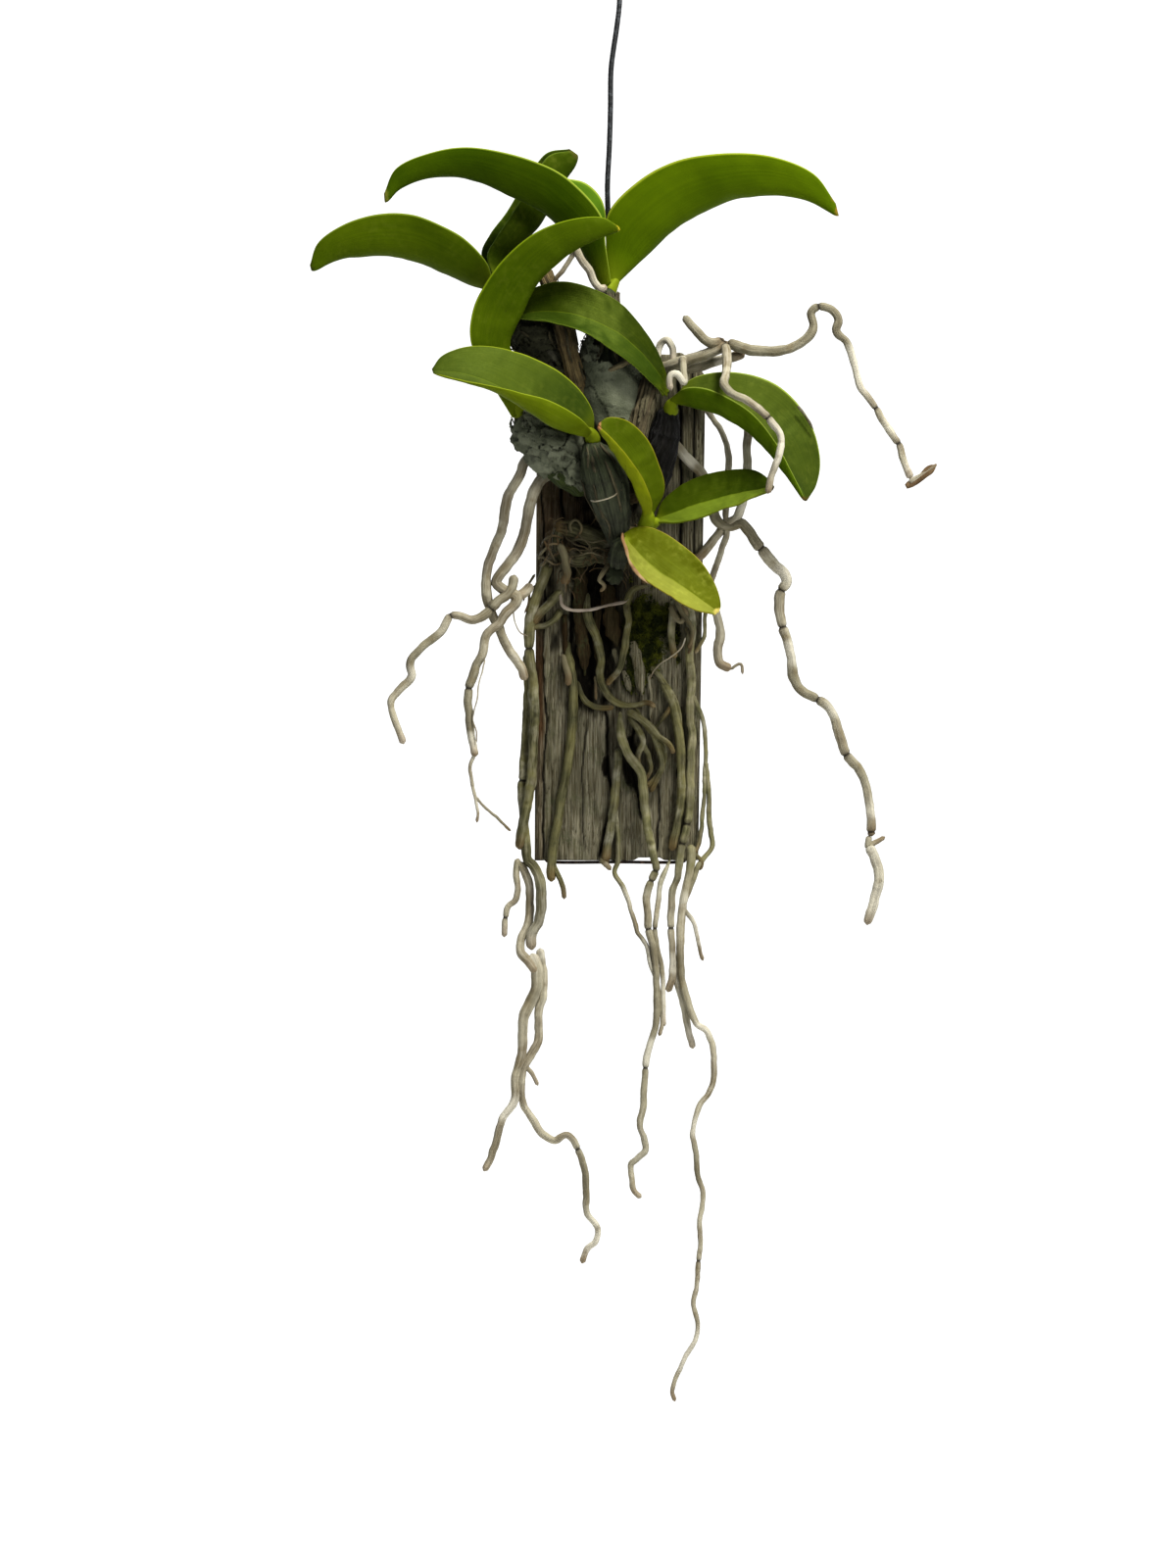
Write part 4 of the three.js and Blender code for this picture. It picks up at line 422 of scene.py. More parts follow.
SLAB_ROOTLETS = [
    (1.5, 1.3, [(-23.6, -3, 102), (-26.4, -3.6, 98), (-30.4, -3.8, 95.6), (-34.4, -3.4, 94.8),
        (-37.6, -3, 90.8)]),
    (1.7, 1, [(3.2, -4, 60.8), (8, -5, 57.6), (12.8, -5.4, 54), (16, -5.6, 50), (20.4, -5.6, 46.8),
        (22, -5, 43.2)]),
    (1.4, 1.1, [(13.6, -4, 52.4), (15.6, -4.4, 46), (17.2, -4.2, 38), (14.4, -3.6, 31.2), (12.8, -3, 27.6)]),
    (1.5, 1.1, [(4, -3, 58.4), (7.6, -3.6, 53.2), (9.6, -3.8, 48), (7.6, -3.6, 42.8), (8, -3, 36.4)]),
    (1.2, 0.9, [(9.2, -3, 47.6), (12, -3.4, 42), (12.8, -3.2, 36.4), (10, -3, 31.6)]),
    (1.2, 1, [(12.8, -2.8, 78.8), (17.6, -3, 73.2), (22.4, -3, 66), (24.4, -3, 58.8), (24.8, -2.6, 50)]),
    (1.8, 1.9, [(-0.4, -2.4, 45.2), (-1.2, -2.8, 32.8), (-2.8, -3, 18), (-4.8, -3, 6.8), (-6, -3, -1.2)]),
    (1.3, 1, [(-8, -3, 0.4), (-5.6, -4, -2), (-3.6, -4, -4.4)]),
    (1, 0.8, [(28.4, -3, 6), (31.2, -3.4, 2), (33.6, -3.4, -1.2), (32.8, -3, -4.4)]),
]
THREADS = [
    (0.35, 0.3, [(-54.8, -14, 81.6), (-56.4, -14, 74.8), (-57.6, -14, 68.8), (-58, -14, 64.4),
        (-59.2, -14, 60), (-59.6, -14, 56.4), (-58.4, -14, 51.6), (-58, -14, 47.6)]),
    (0.3, 0.25, [(-44, -13, 110.8), (-43.6, -13, 104.4), (-42.8, -13, 97.2), (-40.8, -12, 93.2),
        (-36.8, -8, 90.8)]),
    (0.35, 0.3, [(27.2, -8, 90.4), (25.6, -7.4, 86.8), (22.4, -7, 83.6), (18.8, -6, 81.2), (16, -5, 79.2),
        (13.6, -4, 76.4), (12, -3, 72.8)]),
    (0.35, 0.3, [(-12, -29, 146), (-9.6, -32.4, 145.2), (-6, -34.4, 146), (-2.4, -34.2, 147.6),
        (0, -32, 149.6), (1.6, -28, 151.2)]),
]
DEAD_FIBERS = [
    (0.5, 0.3, [(-20.8, -13, 129.6), (-16, -15, 130.4), (-11.2, -15, 129.2), (-6.4, -14, 130),
        (-2, -13, 128.4)]),
    (0.4, 0.3, [(-19.6, -14, 126.8), (-14.4, -15.5, 125.6), (-9.6, -15.5, 126.8), (-4, -14, 125.2)]),
    (0.5, 0.3, [(-21.6, -13, 124.4), (-16.8, -15, 124), (-11.6, -15.5, 124.8), (-5.6, -14, 123.6),
        (-1.6, -13, 124.4)]),
    (0.4, 0.3, [(-16.8, -14, 132.4), (-12.8, -15.5, 128.4), (-10.4, -15, 124.4), (-8.8, -13, 121.2)]),
    (0.4, 0.3, [(-22.4, -13, 131.6), (-18.4, -15.5, 128.4), (-13.6, -15.5, 126.8), (-10.4, -14, 122.8)]),
    (0.7, 0.4, [(-32, -9, 126.8), (-29.6, -12, 130.8), (-26.4, -13, 132), (-23.2, -13, 130.8)]),
    (0.6, 0.5, [(-33.2, -8, 122.4), (-30.4, -11, 126), (-27.6, -13, 128.4), (-24, -14, 128.4)]),
    (0.7, 0.4, [(-32.4, -8, 119.6), (-28.8, -11, 122), (-25.2, -13, 124.4), (-21.6, -14, 126)]),
    (0.6, 0.4, [(-28.8, -8, 118.8), (-27.2, -11, 122.8), (-24.8, -14, 126.8), (-25.6, -14, 130.8)]),
    (0.6, 0.4, [(-24, -9, 118.8), (-26.4, -12, 122), (-28.8, -13, 126), (-30.4, -12, 130)]),
    (0.6, 0.4, [(-33.6, -7, 124.4), (-30.4, -11, 122.8), (-26.4, -12, 120.4), (-23.2, -12, 121.2)]),
    (0.6, 0.4, [(-34.4, -4, 116.4), (-36.4, -5, 113.2), (-38.4, -5, 110), (-39.2, -4, 105.2)]),
    (0.6, 0.4, [(-33.6, -4, 112.4), (-36.4, -5, 109.2), (-36.8, -5, 104.4), (-38.4, -4, 100.4)]),
]

# Splinters of rotten wood on the slab: width, thickness and stops
BROWN_SPLINTERS = [
    (5.4, 2.2, [(-15.4, -0.4, 119), (-16, -1, 104), (-15, -1.2, 90), (-14, -0.6, 75)]),
    (6.4, 2.4, [(-5, -0.8, 112), (-3.4, -1.4, 100), (-1, -1, 87)]),
    (3, 1.8, [(-8.6, -0.2, 104), (-9.6, -0.6, 92), (-9, -0.2, 80)]),
    (2.4, 1.6, [(-22.4, 0, 100), (-22, -0.4, 88), (-21.4, 0, 78)]),
]
GRAY_SPLINTERS = [
    (4.2, 2, [(5.4, -0.8, 89), (7.6, -1.2, 80), (9.2, -0.8, 67)]),
    (2.2, 1.4, [(-2.4, -0.6, 86), (-1.2, -1, 82), (-0.2, -0.6, 78)]),
    (2.6, 1.4, [(1.6, -0.6, 77), (3, -1, 73), (4.4, -0.6, 68.4)]),
    (2, 1.4, [(11.8, -0.4, 76), (12.8, -0.8, 66), (12.4, -0.4, 56)]),
    (2.4, 1.2, [(-29.4, -0.2, 96), (-29.6, -0.5, 80), (-29.8, -0.2, 64)]),
]
# A pale scar on leaf_right, the dry margin near the base of leaf_bottom, and the dry flap at the
# end of the far right root, given in the same way
LEAF_SCAR = (1.0, 0.5, [(72.4, -21.8, 184.4), (74.6, -22.3, 181.6), (77, -22.6, 178), (78.8, -22.8, 174.8)])
DRY_EDGE = (1.3, 0.5, [(1.2, -28.6, 132.6), (1.2, -30.1, 130.2), (2.6, -32.6, 126.2), (4.1, -35.5, 120.8),
    (7.4, -38.6, 115.8), (11.6, -40.8, 111.8)])
ROOT_FLAP = (3.4, 1.3, [(116.6, -14, 151.8), (120.4, -14.2, 153.8), (125, -14.2, 157.6), (129, -14, 161)])

# Large odd numbers that stir a cell's place into a random value
CELL_MIXERS = np.array([374761393, 668265263, 1440662683])
SEED_MIXER = 974634777
LAST_MIXER = 1274126177


# A fixed random value from 0 to 1 for every whole-numbered cell
def cell_value(cell, seed=0):
    mixed = (np.asarray(cell, np.int64) @ CELL_MIXERS + seed * SEED_MIXER) & 0xFFFFFFFF
    mixed = ((mixed ^ (mixed >> 13)) * LAST_MIXER) & 0xFFFFFFFF
    return ((mixed ^ (mixed >> 16)) & 0xFFFF) / 0xFFFF


# Points from their x, y and z, each of which is an array or one number
def join_axes(x, y, z):
    return np.stack(np.broadcast_arrays(np.asarray(x, float), y, z), axis=-1)


# Random values that change smoothly through space, from -1 to 1, the same on every run
def smooth_noise(points, seed=0):
    cell = np.floor(points).astype(np.int64)
    part = points - cell
    part = part * part * (3 - 2 * part)
    total = np.zeros(points.shape[:-1])
    for corner in itertools.product((0, 1), repeat=3):
        weight = np.prod(np.where(np.array(corner) == 1, part, 1 - part), axis=-1)
        total += weight * (2 * cell_value(cell + corner, seed) - 1)
    return total


def layered_noise(points, seed=0, layers=3):
    return sum(smooth_noise(points * 2 ** layer, seed + layer) / 2 ** layer for layer in range(layers))


def line_noise(places, seed=0):
    return smooth_noise(join_axes(places, 0.5, seed), seed)


# Lines where layered noise crosses zero: 1 in their middle and 0 beyond a share of its height
def noise_lines(points, seed, share):
    return np.clip(share - np.abs(layered_noise(points, seed, 2)), 0, 1) / share


# Cracks a surface into plates. For each (u, v) place: the value of its plate, how far away the
# nearest crack is, and where it lies from the plate's middle.
def crack_plates(places, seed):
    cell = np.floor(places)
    nearest, second = np.full(places.shape[:-1], 9.0), np.full(places.shape[:-1], 9.0)
    value, offset = np.zeros(places.shape[:-1]), np.zeros(places.shape)
    for step in itertools.product((-1, 0, 1), repeat=2):
        home = cell + step
        key = join_axes(home[..., 0], home[..., 1], 0)
        jitter = np.stack([cell_value(key, seed), cell_value(key, seed + 1)], axis=-1)
        away = places - (home + 0.1 + 0.8 * jitter)
        distance = np.hypot(away[..., 0], away[..., 1])
        closer = distance < nearest
        second = np.where(closer, nearest, np.minimum(second, distance))
        nearest = np.where(closer, distance, nearest)
        value = np.where(closer, cell_value(key, seed + 2), value)
        offset = np.where(closer[..., None], away, offset)
    return value, second - nearest, offset


def smoothstep(low, high, values):
    share = np.clip((np.asarray(values, float) - low) / (high - low), 0, 1)
    return share * share * (3 - 2 * share)


# How wide something is along its length when its ends are round: the share runs from -1 to 1,
# and a higher power makes the ends blunter
def round_ends(share, power, least):
    return np.sqrt(np.clip(1 - np.abs(share) ** power, least, 1))


# A centripetal curve through the stops: its points, and the stop number of each one
def curve_through(stops):
    stops = np.asarray(stops, float)
    padded = np.vstack([2 * stops[0] - stops[1], stops, 2 * stops[-1] - stops[-2]])
    points, numbers = [], []
    share = np.arange(CURVE_SAMPLES)[:, None] / CURVE_SAMPLES
    for index in range(len(stops) - 1):
        before, start, end, after = padded[index:index + 4]
        gaps = [max(np.linalg.norm(b - a), 1e-6) ** 0.5
                for a, b in ((before, start), (start, end), (end, after))]
        leave = (start - before) / gaps[0] - (end - before) / (gaps[0] + gaps[1])
        leave = (leave + (end - start) / gaps[1]) * gaps[1]
        arrive = (end - start) / gaps[1] - (after - start) / (gaps[1] + gaps[2])
        arrive = (arrive + (after - end) / gaps[2]) * gaps[1]
        points.append(start + leave * share + (3 * (end - start) - 2 * leave - arrive) * share ** 2
                      + (2 * (start - end) + leave + arrive) * share ** 3)
        numbers.append(index + share[:, 0])
    return np.vstack([*points, stops[-1:]]), np.append(np.concatenate(numbers), len(stops) - 1)


# Evenly spaced points on the curve through the stops, with their stop numbers and lengths
def trace(stops, step=None, count=None):
    dense, numbers = curve_through(stops)
    reach = np.concatenate([[0], np.cumsum(np.linalg.norm(np.diff(dense, axis=0), axis=1))])
    count = count or max(3, round(reach[-1] / step) + 1)
    even = np.linspace(0, reach[-1], count)
    points = np.stack([np.interp(even, reach, dense[:, axis]) for axis in range(3)], axis=1)
    return points, np.interp(even, reach, numbers), even


# The direction of a line at each of its points, and two square to it that don't twist along it
def cross_directions(points):
    tangents = np.gradient(points, axis=0)
    tangents /= np.linalg.norm(tangents, axis=1)[:, None]
    facing = np.array([0.0, -1.0, 0.0]) if abs(tangents[0][1]) < 0.9 else np.array([0.0, 0.0, 1.0])
    facings = []
    for tangent in tangents:
        facing = facing - tangent * facing.dot(tangent)
        facing /= np.linalg.norm(facing)
        facings.append(facing)
    return tangents, np.array(facings), np.cross(tangents, facings)


# The middle line of a rod with (x, y, z, radius) stops: points, radii, lengths and directions
def trace_rod(stops, step):
    route = np.asarray(stops, float)
    points, numbers, reach = trace(route[:, :3], step=step)
    radii = np.interp(numbers, np.arange(len(route)), route[:, 3])
    return points, radii, reach, *cross_directions(points)


# Places at a distance and an angle round the points of a line
def around(points, facings, sideways, away, angles):
    return (points + facings * (away * np.cos(angles))[..., None]
            + sideways * (away * np.sin(angles))[..., None])


# A new piece from points in millimetres on the slab's frame. Each mark is a value at every
# point, which node trees and materials read by its name.
def make_piece(name, points, faces, material=None, marks=None, edges=()):
    mesh = bpy.data.meshes.new(name)
    mesh.from_pydata(((np.asarray(points, float) + ORIGIN_SHIFT) * MM).tolist(), edges, faces)
    for mark, values in (marks or {}).items():
        mesh.attributes.new(mark, "FLOAT", "POINT").data.foreach_set(
            "value", np.asarray(values, np.float32))
    mesh.shade_smooth()
    if material:
        mesh.materials.append(material)
    piece = bpy.data.objects.new(name, mesh)
    bpy.context.scene.collection.objects.link(piece)
    return piece


# The piece keeps what its modifier makes of it as its own plain mesh
def apply_modifier(piece, modifier):
    depsgraph = bpy.context.evaluated_depsgraph_get()
    mesh = bpy.data.meshes.new_from_object(piece.evaluated_get(depsgraph), preserve_all_data_layers=True,
                                           depsgraph=depsgraph)
    piece.modifiers.remove(modifier)
    old, piece.data = piece.data, mesh
    bpy.data.meshes.remove(old)
    return piece


def ride_along(piece, slot, *nodes):
    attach(piece, "root")
    if nodes:
        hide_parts(*nodes)


def grid_quads(index):
    return np.stack([index[:-1, :-1], index[:-1, 1:], index[1:, 1:], index[1:, :-1]], axis=-1)


# Faces that join a stack of rings, each of the same number of points, and close both ends
# with a fan to a middle point. The rings turn so that the faces point outwards.
def loft_faces(ring_count, sides):
    index = np.arange(ring_count * sides).reshape(ring_count, sides)
    walls = grid_quads(np.column_stack([index, index[:, 0]])).reshape(-1, 4).tolist()
    start, end = ring_count * sides, ring_count * sides + 1
    last = (ring_count - 1) * sides
    caps = [(start, (side + 1) % sides, side) for side in range(sides)]
    caps += [(end, last + side, last + (side + 1) % sides) for side in range(sides)]
    return walls + caps


def loft_points(rings):
    return np.vstack([rings.reshape(-1, 3), rings[0].mean(axis=0), rings[-1].mean(axis=0)])


# Marks for the same points: each spreads over the rings, and the middle points get the mean
def loft_marks(shape, **marks):
    spread = {name: np.broadcast_to(values, shape) for name, values in marks.items()}
    return {name: np.concatenate([values.reshape(-1), [values[0].mean(), values[-1].mean()]])
            for name, values in spread.items()}


def join_lofts(name, all_rings, material):
    points, faces, first = [], [], 0
    for rings in all_rings:
        points.append(loft_points(rings))
        faces += [tuple(first + corner for corner in face) for face in loft_faces(*rings.shape[:2])]
        first += len(points[-1])
    return make_piece(name, np.vstack(points), faces, material)


# A leaf folded along its keel. Three curves run from base to tip, and a thick blade with
# rounded margins is laid over them. Marks: across runs from -1 at the near margin to 1 at the
# far one, along from base to tip, inner is 1 on the face inside the fold.
def make_leaf(name, leaf, material, seed):
    near, keel, far = (trace(leaf[side], count=LEAF_ROWS)[0] for side in ("near", "keel", "far"))
    across = np.sin(np.linspace(-1, 1, 2 * LEAF_HALF_COLUMNS + 1) * math.pi / 2)
    half_width = (near - far) * 0.5
    columns = []
    for column in across:
        reach = abs(column)
        margin = near if column < 0 else far
        bend = keel + half_width * (FOLD_ROUNDNESS if column < 0 else -FOLD_ROUNDNESS)
        columns.append(keel * (1 - reach) ** 2 + bend * 2 * reach * (1 - reach) + margin * reach ** 2)
    middle = np.stack(columns, axis=1)
    normals = np.cross(np.gradient(middle, axis=0), np.gradient(middle, axis=1))
    normals /= np.linalg.norm(normals, axis=2)[:, :, None]
    opens = (normals[:, LEAF_HALF_COLUMNS] * ((near + far) / 2 - keel)).sum() > 0
    along = np.linspace(0, 1, LEAF_ROWS)
    grid_across, grid_along = np.meshgrid(across, along)
    ripple = layered_noise(join_axes(grid_across * 1.3, grid_along * 7, seed), seed)
    calm = np.sqrt(np.sin(math.pi * grid_along))
    middle = middle + normals * (LEAF_RIPPLE * ripple * calm)[:, :, None]
    keel_thick, margin_thick = LEAF_THICKNESS["keel"], LEAF_THICKNESS["margin"]
    thick = keel_thick + np.abs(grid_across) * (margin_thick - keel_thick)
    rounding = round_ends(grid_across, 14, 0) * round_ends(grid_along, 60, 0.02)
    half = (thick * rounding / 2)[:, :, None] * normals
    rings = np.concatenate([middle + half, (middle - half)[:, -2:0:-1]], axis=1)
    upper = np.repeat([1.0, 0.0], [len(across), len(across) - 2])
    marks = loft_marks(rings.shape[:2], across=np.concatenate([across, across[-2:0:-1]]),
                       along=along[:, None], inner=upper if opens else 1 - upper)
    faces = [face[::-1] for face in loft_faces(*rings.shape[:2])]
    return make_piece(name, loft_points(rings), faces, material, marks)


# A rod of round rings along a route of (x, y, z, radius) stops. The ribs run lengthwise, the
# knots are shares of the length where a ring stands out, and bumps roughen the skin.
def make_rod(name, stops, material, sides=BULB_SIDES, ribs=(0, 0), knots=(), bumps=0.0, seed=0):
    points, radii, reach, _, facings, sideways = trace_rod(stops, BULB_STEP)
    share = reach / reach[-1]
    end_room = np.minimum(reach, reach[-1] - reach) / (BLUNT_END * radii)
    radii = radii * np.sqrt(1 - (1 - np.clip(end_room, 0, 1)) ** 2 * 0.93)
    knot_height = sum((np.exp(-((share - knot) * reach[-1] / KNOT_WIDTH) ** 2) for knot in knots),
                      np.zeros(len(share)))[:, None]
    angles = np.arange(sides) * 2 * math.pi / sides
    grid_angle, grid_reach = np.meshgrid(angles, reach)
    skin = join_axes(np.cos(grid_angle) * 2, np.sin(grid_angle) * 2, grid_reach / 5)
    rough = layered_noise(skin + seed, seed, 4)
    rib_count, rib_depth = ribs
    wander = line_noise(reach / 14, seed)[:, None] * 0.5
    ribbing = rib_depth * np.cos(rib_count * (grid_angle + wander))
    grown = radii[:, None] * (1 + ribbing + bumps * rough) + KNOT_HEIGHT * knot_height
    rings = around(points[:, None], facings[:, None], sideways[:, None], grown, grid_angle)
    # Painted shade where the skin lies low between ribs and lumps
    hollow = np.clip(-(ribbing / max(rib_depth, 1e-3)) * 0.5 - rough * 0.5, 0, 1)
    marks = loft_marks(grown.shape, share=share[:, None], around=angles / (2 * math.pi),
                       reach=grid_reach * MM, hollow=hollow, knot=knot_height)
    return make_piece(name, loft_points(rings), loft_faces(*grown.shape), material, marks)


# A torn papery skin in layers. Each patch is (start share, end share, left and right degrees,
# lift, plate width): it follows part of a bulb, is cracked into crumpled plates and lifts at its
# ragged edges.
def make_paper(name, stops, patches, material, seed):
    points, radii, reach, _, facings, sideways = trace_rod(stops, PAPER_STEP)
    vertices, faces, cracks, plates, first = [], [], [], [], 0
    for number, (start, end, left, right, lift, plate_width) in enumerate(patches):
        rows = np.arange(int(start * (len(points) - 1)), int(end * (len(points) - 1)) + 1)
        widest = radii[rows].max() * math.radians(right - left)
        across = np.linspace(0, 1, max(6, int(widest / PAPER_STEP)))
        angles = np.radians(left + (right - left) * across)
        grid_across, grid_row = np.meshgrid(across, rows)
        along = (grid_row - rows[0]) / max(len(rows) - 1, 1)
        flat = np.stack([grid_across * widest, reach[grid_row]], axis=-1)
        spot = join_axes(*np.moveaxis(flat / PAPER_TEAR_SIZE, -1, 0), seed + 5 * number)
        torn = PAPER_TEAR * layered_noise(spot, seed + number, 4)
        bent = [layered_noise(spot * 0.7 + shift, seed + draw, 3) for shift, draw in ((3, 20), (0, 30))]
        skew = flat @ np.array([[1.0, -0.4], [0.75, 0.45]]) / plate_width
        bent_skew = skew + PLATE_BEND / plate_width * np.stack(bent, axis=-1)
        value, gap, offset = crack_plates(bent_skew, seed + 7 * number)
        rim = np.minimum(np.minimum(grid_across, 1 - grid_across) * widest,
                         np.minimum(along, 1 - along) * len(rows) * PAPER_STEP)
        kept = rim + torn > 0.35 * PAPER_TEAR
        curl = np.clip(1 - (rim + torn) / CURL_WIDTH, 0, 1) ** 2
        turn = value * 2 * math.pi * 3
        tilt = offset[..., 0] * np.cos(turn) + offset[..., 1] * np.sin(turn)
        crack = (1 - smoothstep(0.01, 0.06, gap)) * smoothstep(0.2, 0.45, value)
        creased = join_axes(*np.moveaxis(skew * CREASE_CROWDING, -1, 0), spot[..., 2] + 5)
        crease = 1 - np.abs(layered_noise(creased, seed + 90, 2))
        relief = (PLATE_LIFT * value + PLATE_TILT * (tilt + 0.35) - CRACK_DEPTH * crack
                  + CREASE_HEIGHT * crease ** 3)
        away = radii[grid_row] * 1.03 + lift + PAPER_CURL * curl + relief
        place = around(points[grid_row], facings[grid_row], sideways[grid_row], away, angles)
        vertices.append(place.reshape(-1, 3))
        cracks.append(crack.ravel())
        plates.append(value.ravel())
        index = first + np.arange(grid_row.size).reshape(grid_row.shape)
        whole = kept[:-1, :-1] & kept[1:, :-1] & kept[:-1, 1:] & kept[1:, 1:]
        faces += grid_quads(index)[whole].tolist()
        first += grid_row.size
    used, corners = np.unique(np.array(faces), return_inverse=True)
    marks = {"crack": np.concatenate(cracks)[used], "plate": np.concatenate(plates)[used]}
    piece = make_piece(name, np.vstack(vertices)[used], corners.reshape(-1, 4).tolist(), material, marks)
    thickness = piece.modifiers.new("paper", "SOLIDIFY")
    thickness.thickness = PAPER_THICKNESS * MM
    thickness.offset = 0
    return apply_modifier(piece, thickness)


# Loose strips of old bark or fiber that run along a bulb and lift off it at their ends
def bark_strips(name, stops, count, degrees, shares, width, lift, material, seed):
    points, radii, reach, tangents, facings, sideways = trace_rod(stops, STRIP_STEP)
    chance = np.random.default_rng(seed)
    turn = np.arange(STRIP_SIDES) * 2 * math.pi / STRIP_SIDES
    strips = []
    for _ in range(count):
        start = chance.uniform(shares[0], shares[1] - 0.15)
        end = min(start + chance.uniform(0.15, 0.5), shares[1])
        first = int(start * len(points))
        rows = np.clip(np.arange(first, max(int(end * len(points)), first + 5)), 0, len(points) - 1)
        angle = math.radians(chance.uniform(*degrees))
        angle = angle + 0.16 * line_noise(reach[rows] / 6, int(chance.integers(999)))
        part = np.linspace(0, 1, len(rows))
        loose = chance.uniform(0, 1, 2) * lift
        away = radii[rows] + STRIP_GAP + loose[0] * (1 - part) ** 3 + loose[1] * part ** 3
        line = around(points[rows], facings[rows], sideways[rows], away, angle)
        outward = around(0, facings[rows], sideways[rows], 1, angle)
        beside = np.cross(tangents[rows], outward)
        half = chance.uniform(0.4, 1) * width / 2 * round_ends(2 * part - 1, 4, 0.03)
        half = half * (1 + 0.4 * line_noise(reach[rows] / 1.8, int(chance.integers(999))))
        strips.append(line[:, None] + beside[:, None] * (half[:, None] * np.sin(turn))[:, :, None]
                      + outward[:, None] * (STRIP_THICKNESS / 2 * np.cos(turn))[None, :, None])
    return join_lofts(name, strips, material)


# A splinter of old wood or bark that lies on the slab: a flat ragged stick
def splinter_rings(stops, width, thickness, seed):
    points, _, reach = trace(stops, step=SPLINTER_STEP)
    _, facings, sideways = cross_directions(points)
    ragged = 1 + 0.3 * line_noise(reach / 2.5, seed)
    half_width = width / 2 * ragged * round_ends(2 * reach / reach[-1] - 0.9, 5, 0.04)
    angles = np.arange(SPLINTER_SIDES) * 2 * math.pi / SPLINTER_SIDES
    skin = join_axes(np.cos(angles) * 3, reach[:, None] / 6, np.sin(angles) * 3)
    rough = 1 + 0.3 * layered_noise(skin, seed, 3)
    wide = sideways[:, None] * (half_width[:, None] * np.sin(angles) * rough)[:, :, None]
    deep = facings[:, None] * (thickness / 2 * np.cos(angles) * rough)[:, :, None]
    return points[:, None] + wide + deep


def add_splinters(name, slot, splinters, skin, seed=0, nodes=()):
    rings = [splinter_rings(stops, width, thickness, seed + 7 * number)
             for number, (width, thickness, stops) in enumerate(splinters)]
    ride_along(join_lofts(name, rings, skin), slot, *nodes)


# How far each place is from the middle of an oval patch of the slab, which ends at 1
def oval(x, z, middle_x, middle_z, half_width, half_height):
    return np.hypot((x - middle_x) / half_width, (z - middle_z) / half_height)


# How deep the weather has eaten into the slab's front at each x and z, how much painted shade
# lies there in its grooves, cracks, hollows and crumbly bark and behind the plant, and where bark
# is left
def slab_wear(x, z):
    bend = layered_noise(join_axes(x / 26, z / 34, 8), 3, 3)
    groove = noise_lines(join_axes(x / 1.9 + 0.9 * bend, z / 46, 0), 21, 0.4)
    fine_groove = noise_lines(join_axes(x / 0.75 + 2.2 * bend, z / 17, 4), 33, 0.45)
    depth = 0.5 * groove ** 2 + 0.4 * fine_groove ** 1.5
    # Painted shade in the grooves, darker where they are deeper
    dark = 0.25 * groove ** 3 + 0.3 * fine_groove ** 2
    wobble = 0.7 * line_noise(z / 7, 9) + 0.3 * line_noise(z / 2.4, 11)
    for seam, width, deep in SLAB_SEAMS:
        seam_x, seam_z = zip(*seam[::-1])
        gap = np.abs(x - np.interp(z, seam_z, seam_x) - wobble) / width
        reach = (smoothstep(seam_z[0] - 4, seam_z[0] + 3, z)
                 * (1 - smoothstep(seam_z[-1] - 3, seam_z[-1] + 4, z)))
        cut = np.exp(-gap ** 2) * reach
        depth = np.maximum(depth, deep * cut)
        # Painted shade in the cracks
        dark = np.maximum(dark, np.clip(1.2 * cut, 0, 1))
    rough = layered_noise(join_axes(x / 4, z / 9, 2), 60, 4)
    for *patch, deep in SLAB_PITS:
        inside = 1 - smoothstep(0.6, 1.1, oval(x, z, *patch) + 0.35 * rough)
        depth = depth + deep * inside
        # Painted shade in the rotted hollows
        dark = np.maximum(dark, 0.95 * inside)
    # Painted shade behind the plant and its roots, darkest in the middle of each patch
    for *patch, share in PAINTED_SHADE_PATCHES:
        dark = np.maximum(dark, share * (1 - smoothstep(0.5, 1.25, oval(x, z, *patch) + 0.45 * rough)))
    bark = 1 - smoothstep(0.7, 1.15, oval(x, z, *BARK) + 0.4 * rough)
    crumbs = np.abs(layered_noise(join_axes(x / 3.2, z / 4.5, 6), 77, 4))
    depth = depth + bark * (1.6 * crumbs - 1.2)
    # The deeper crumbs of the bark get painted shade too
    return depth, np.clip(dark + 0.3 * bark * crumbs, 0, 1), bark


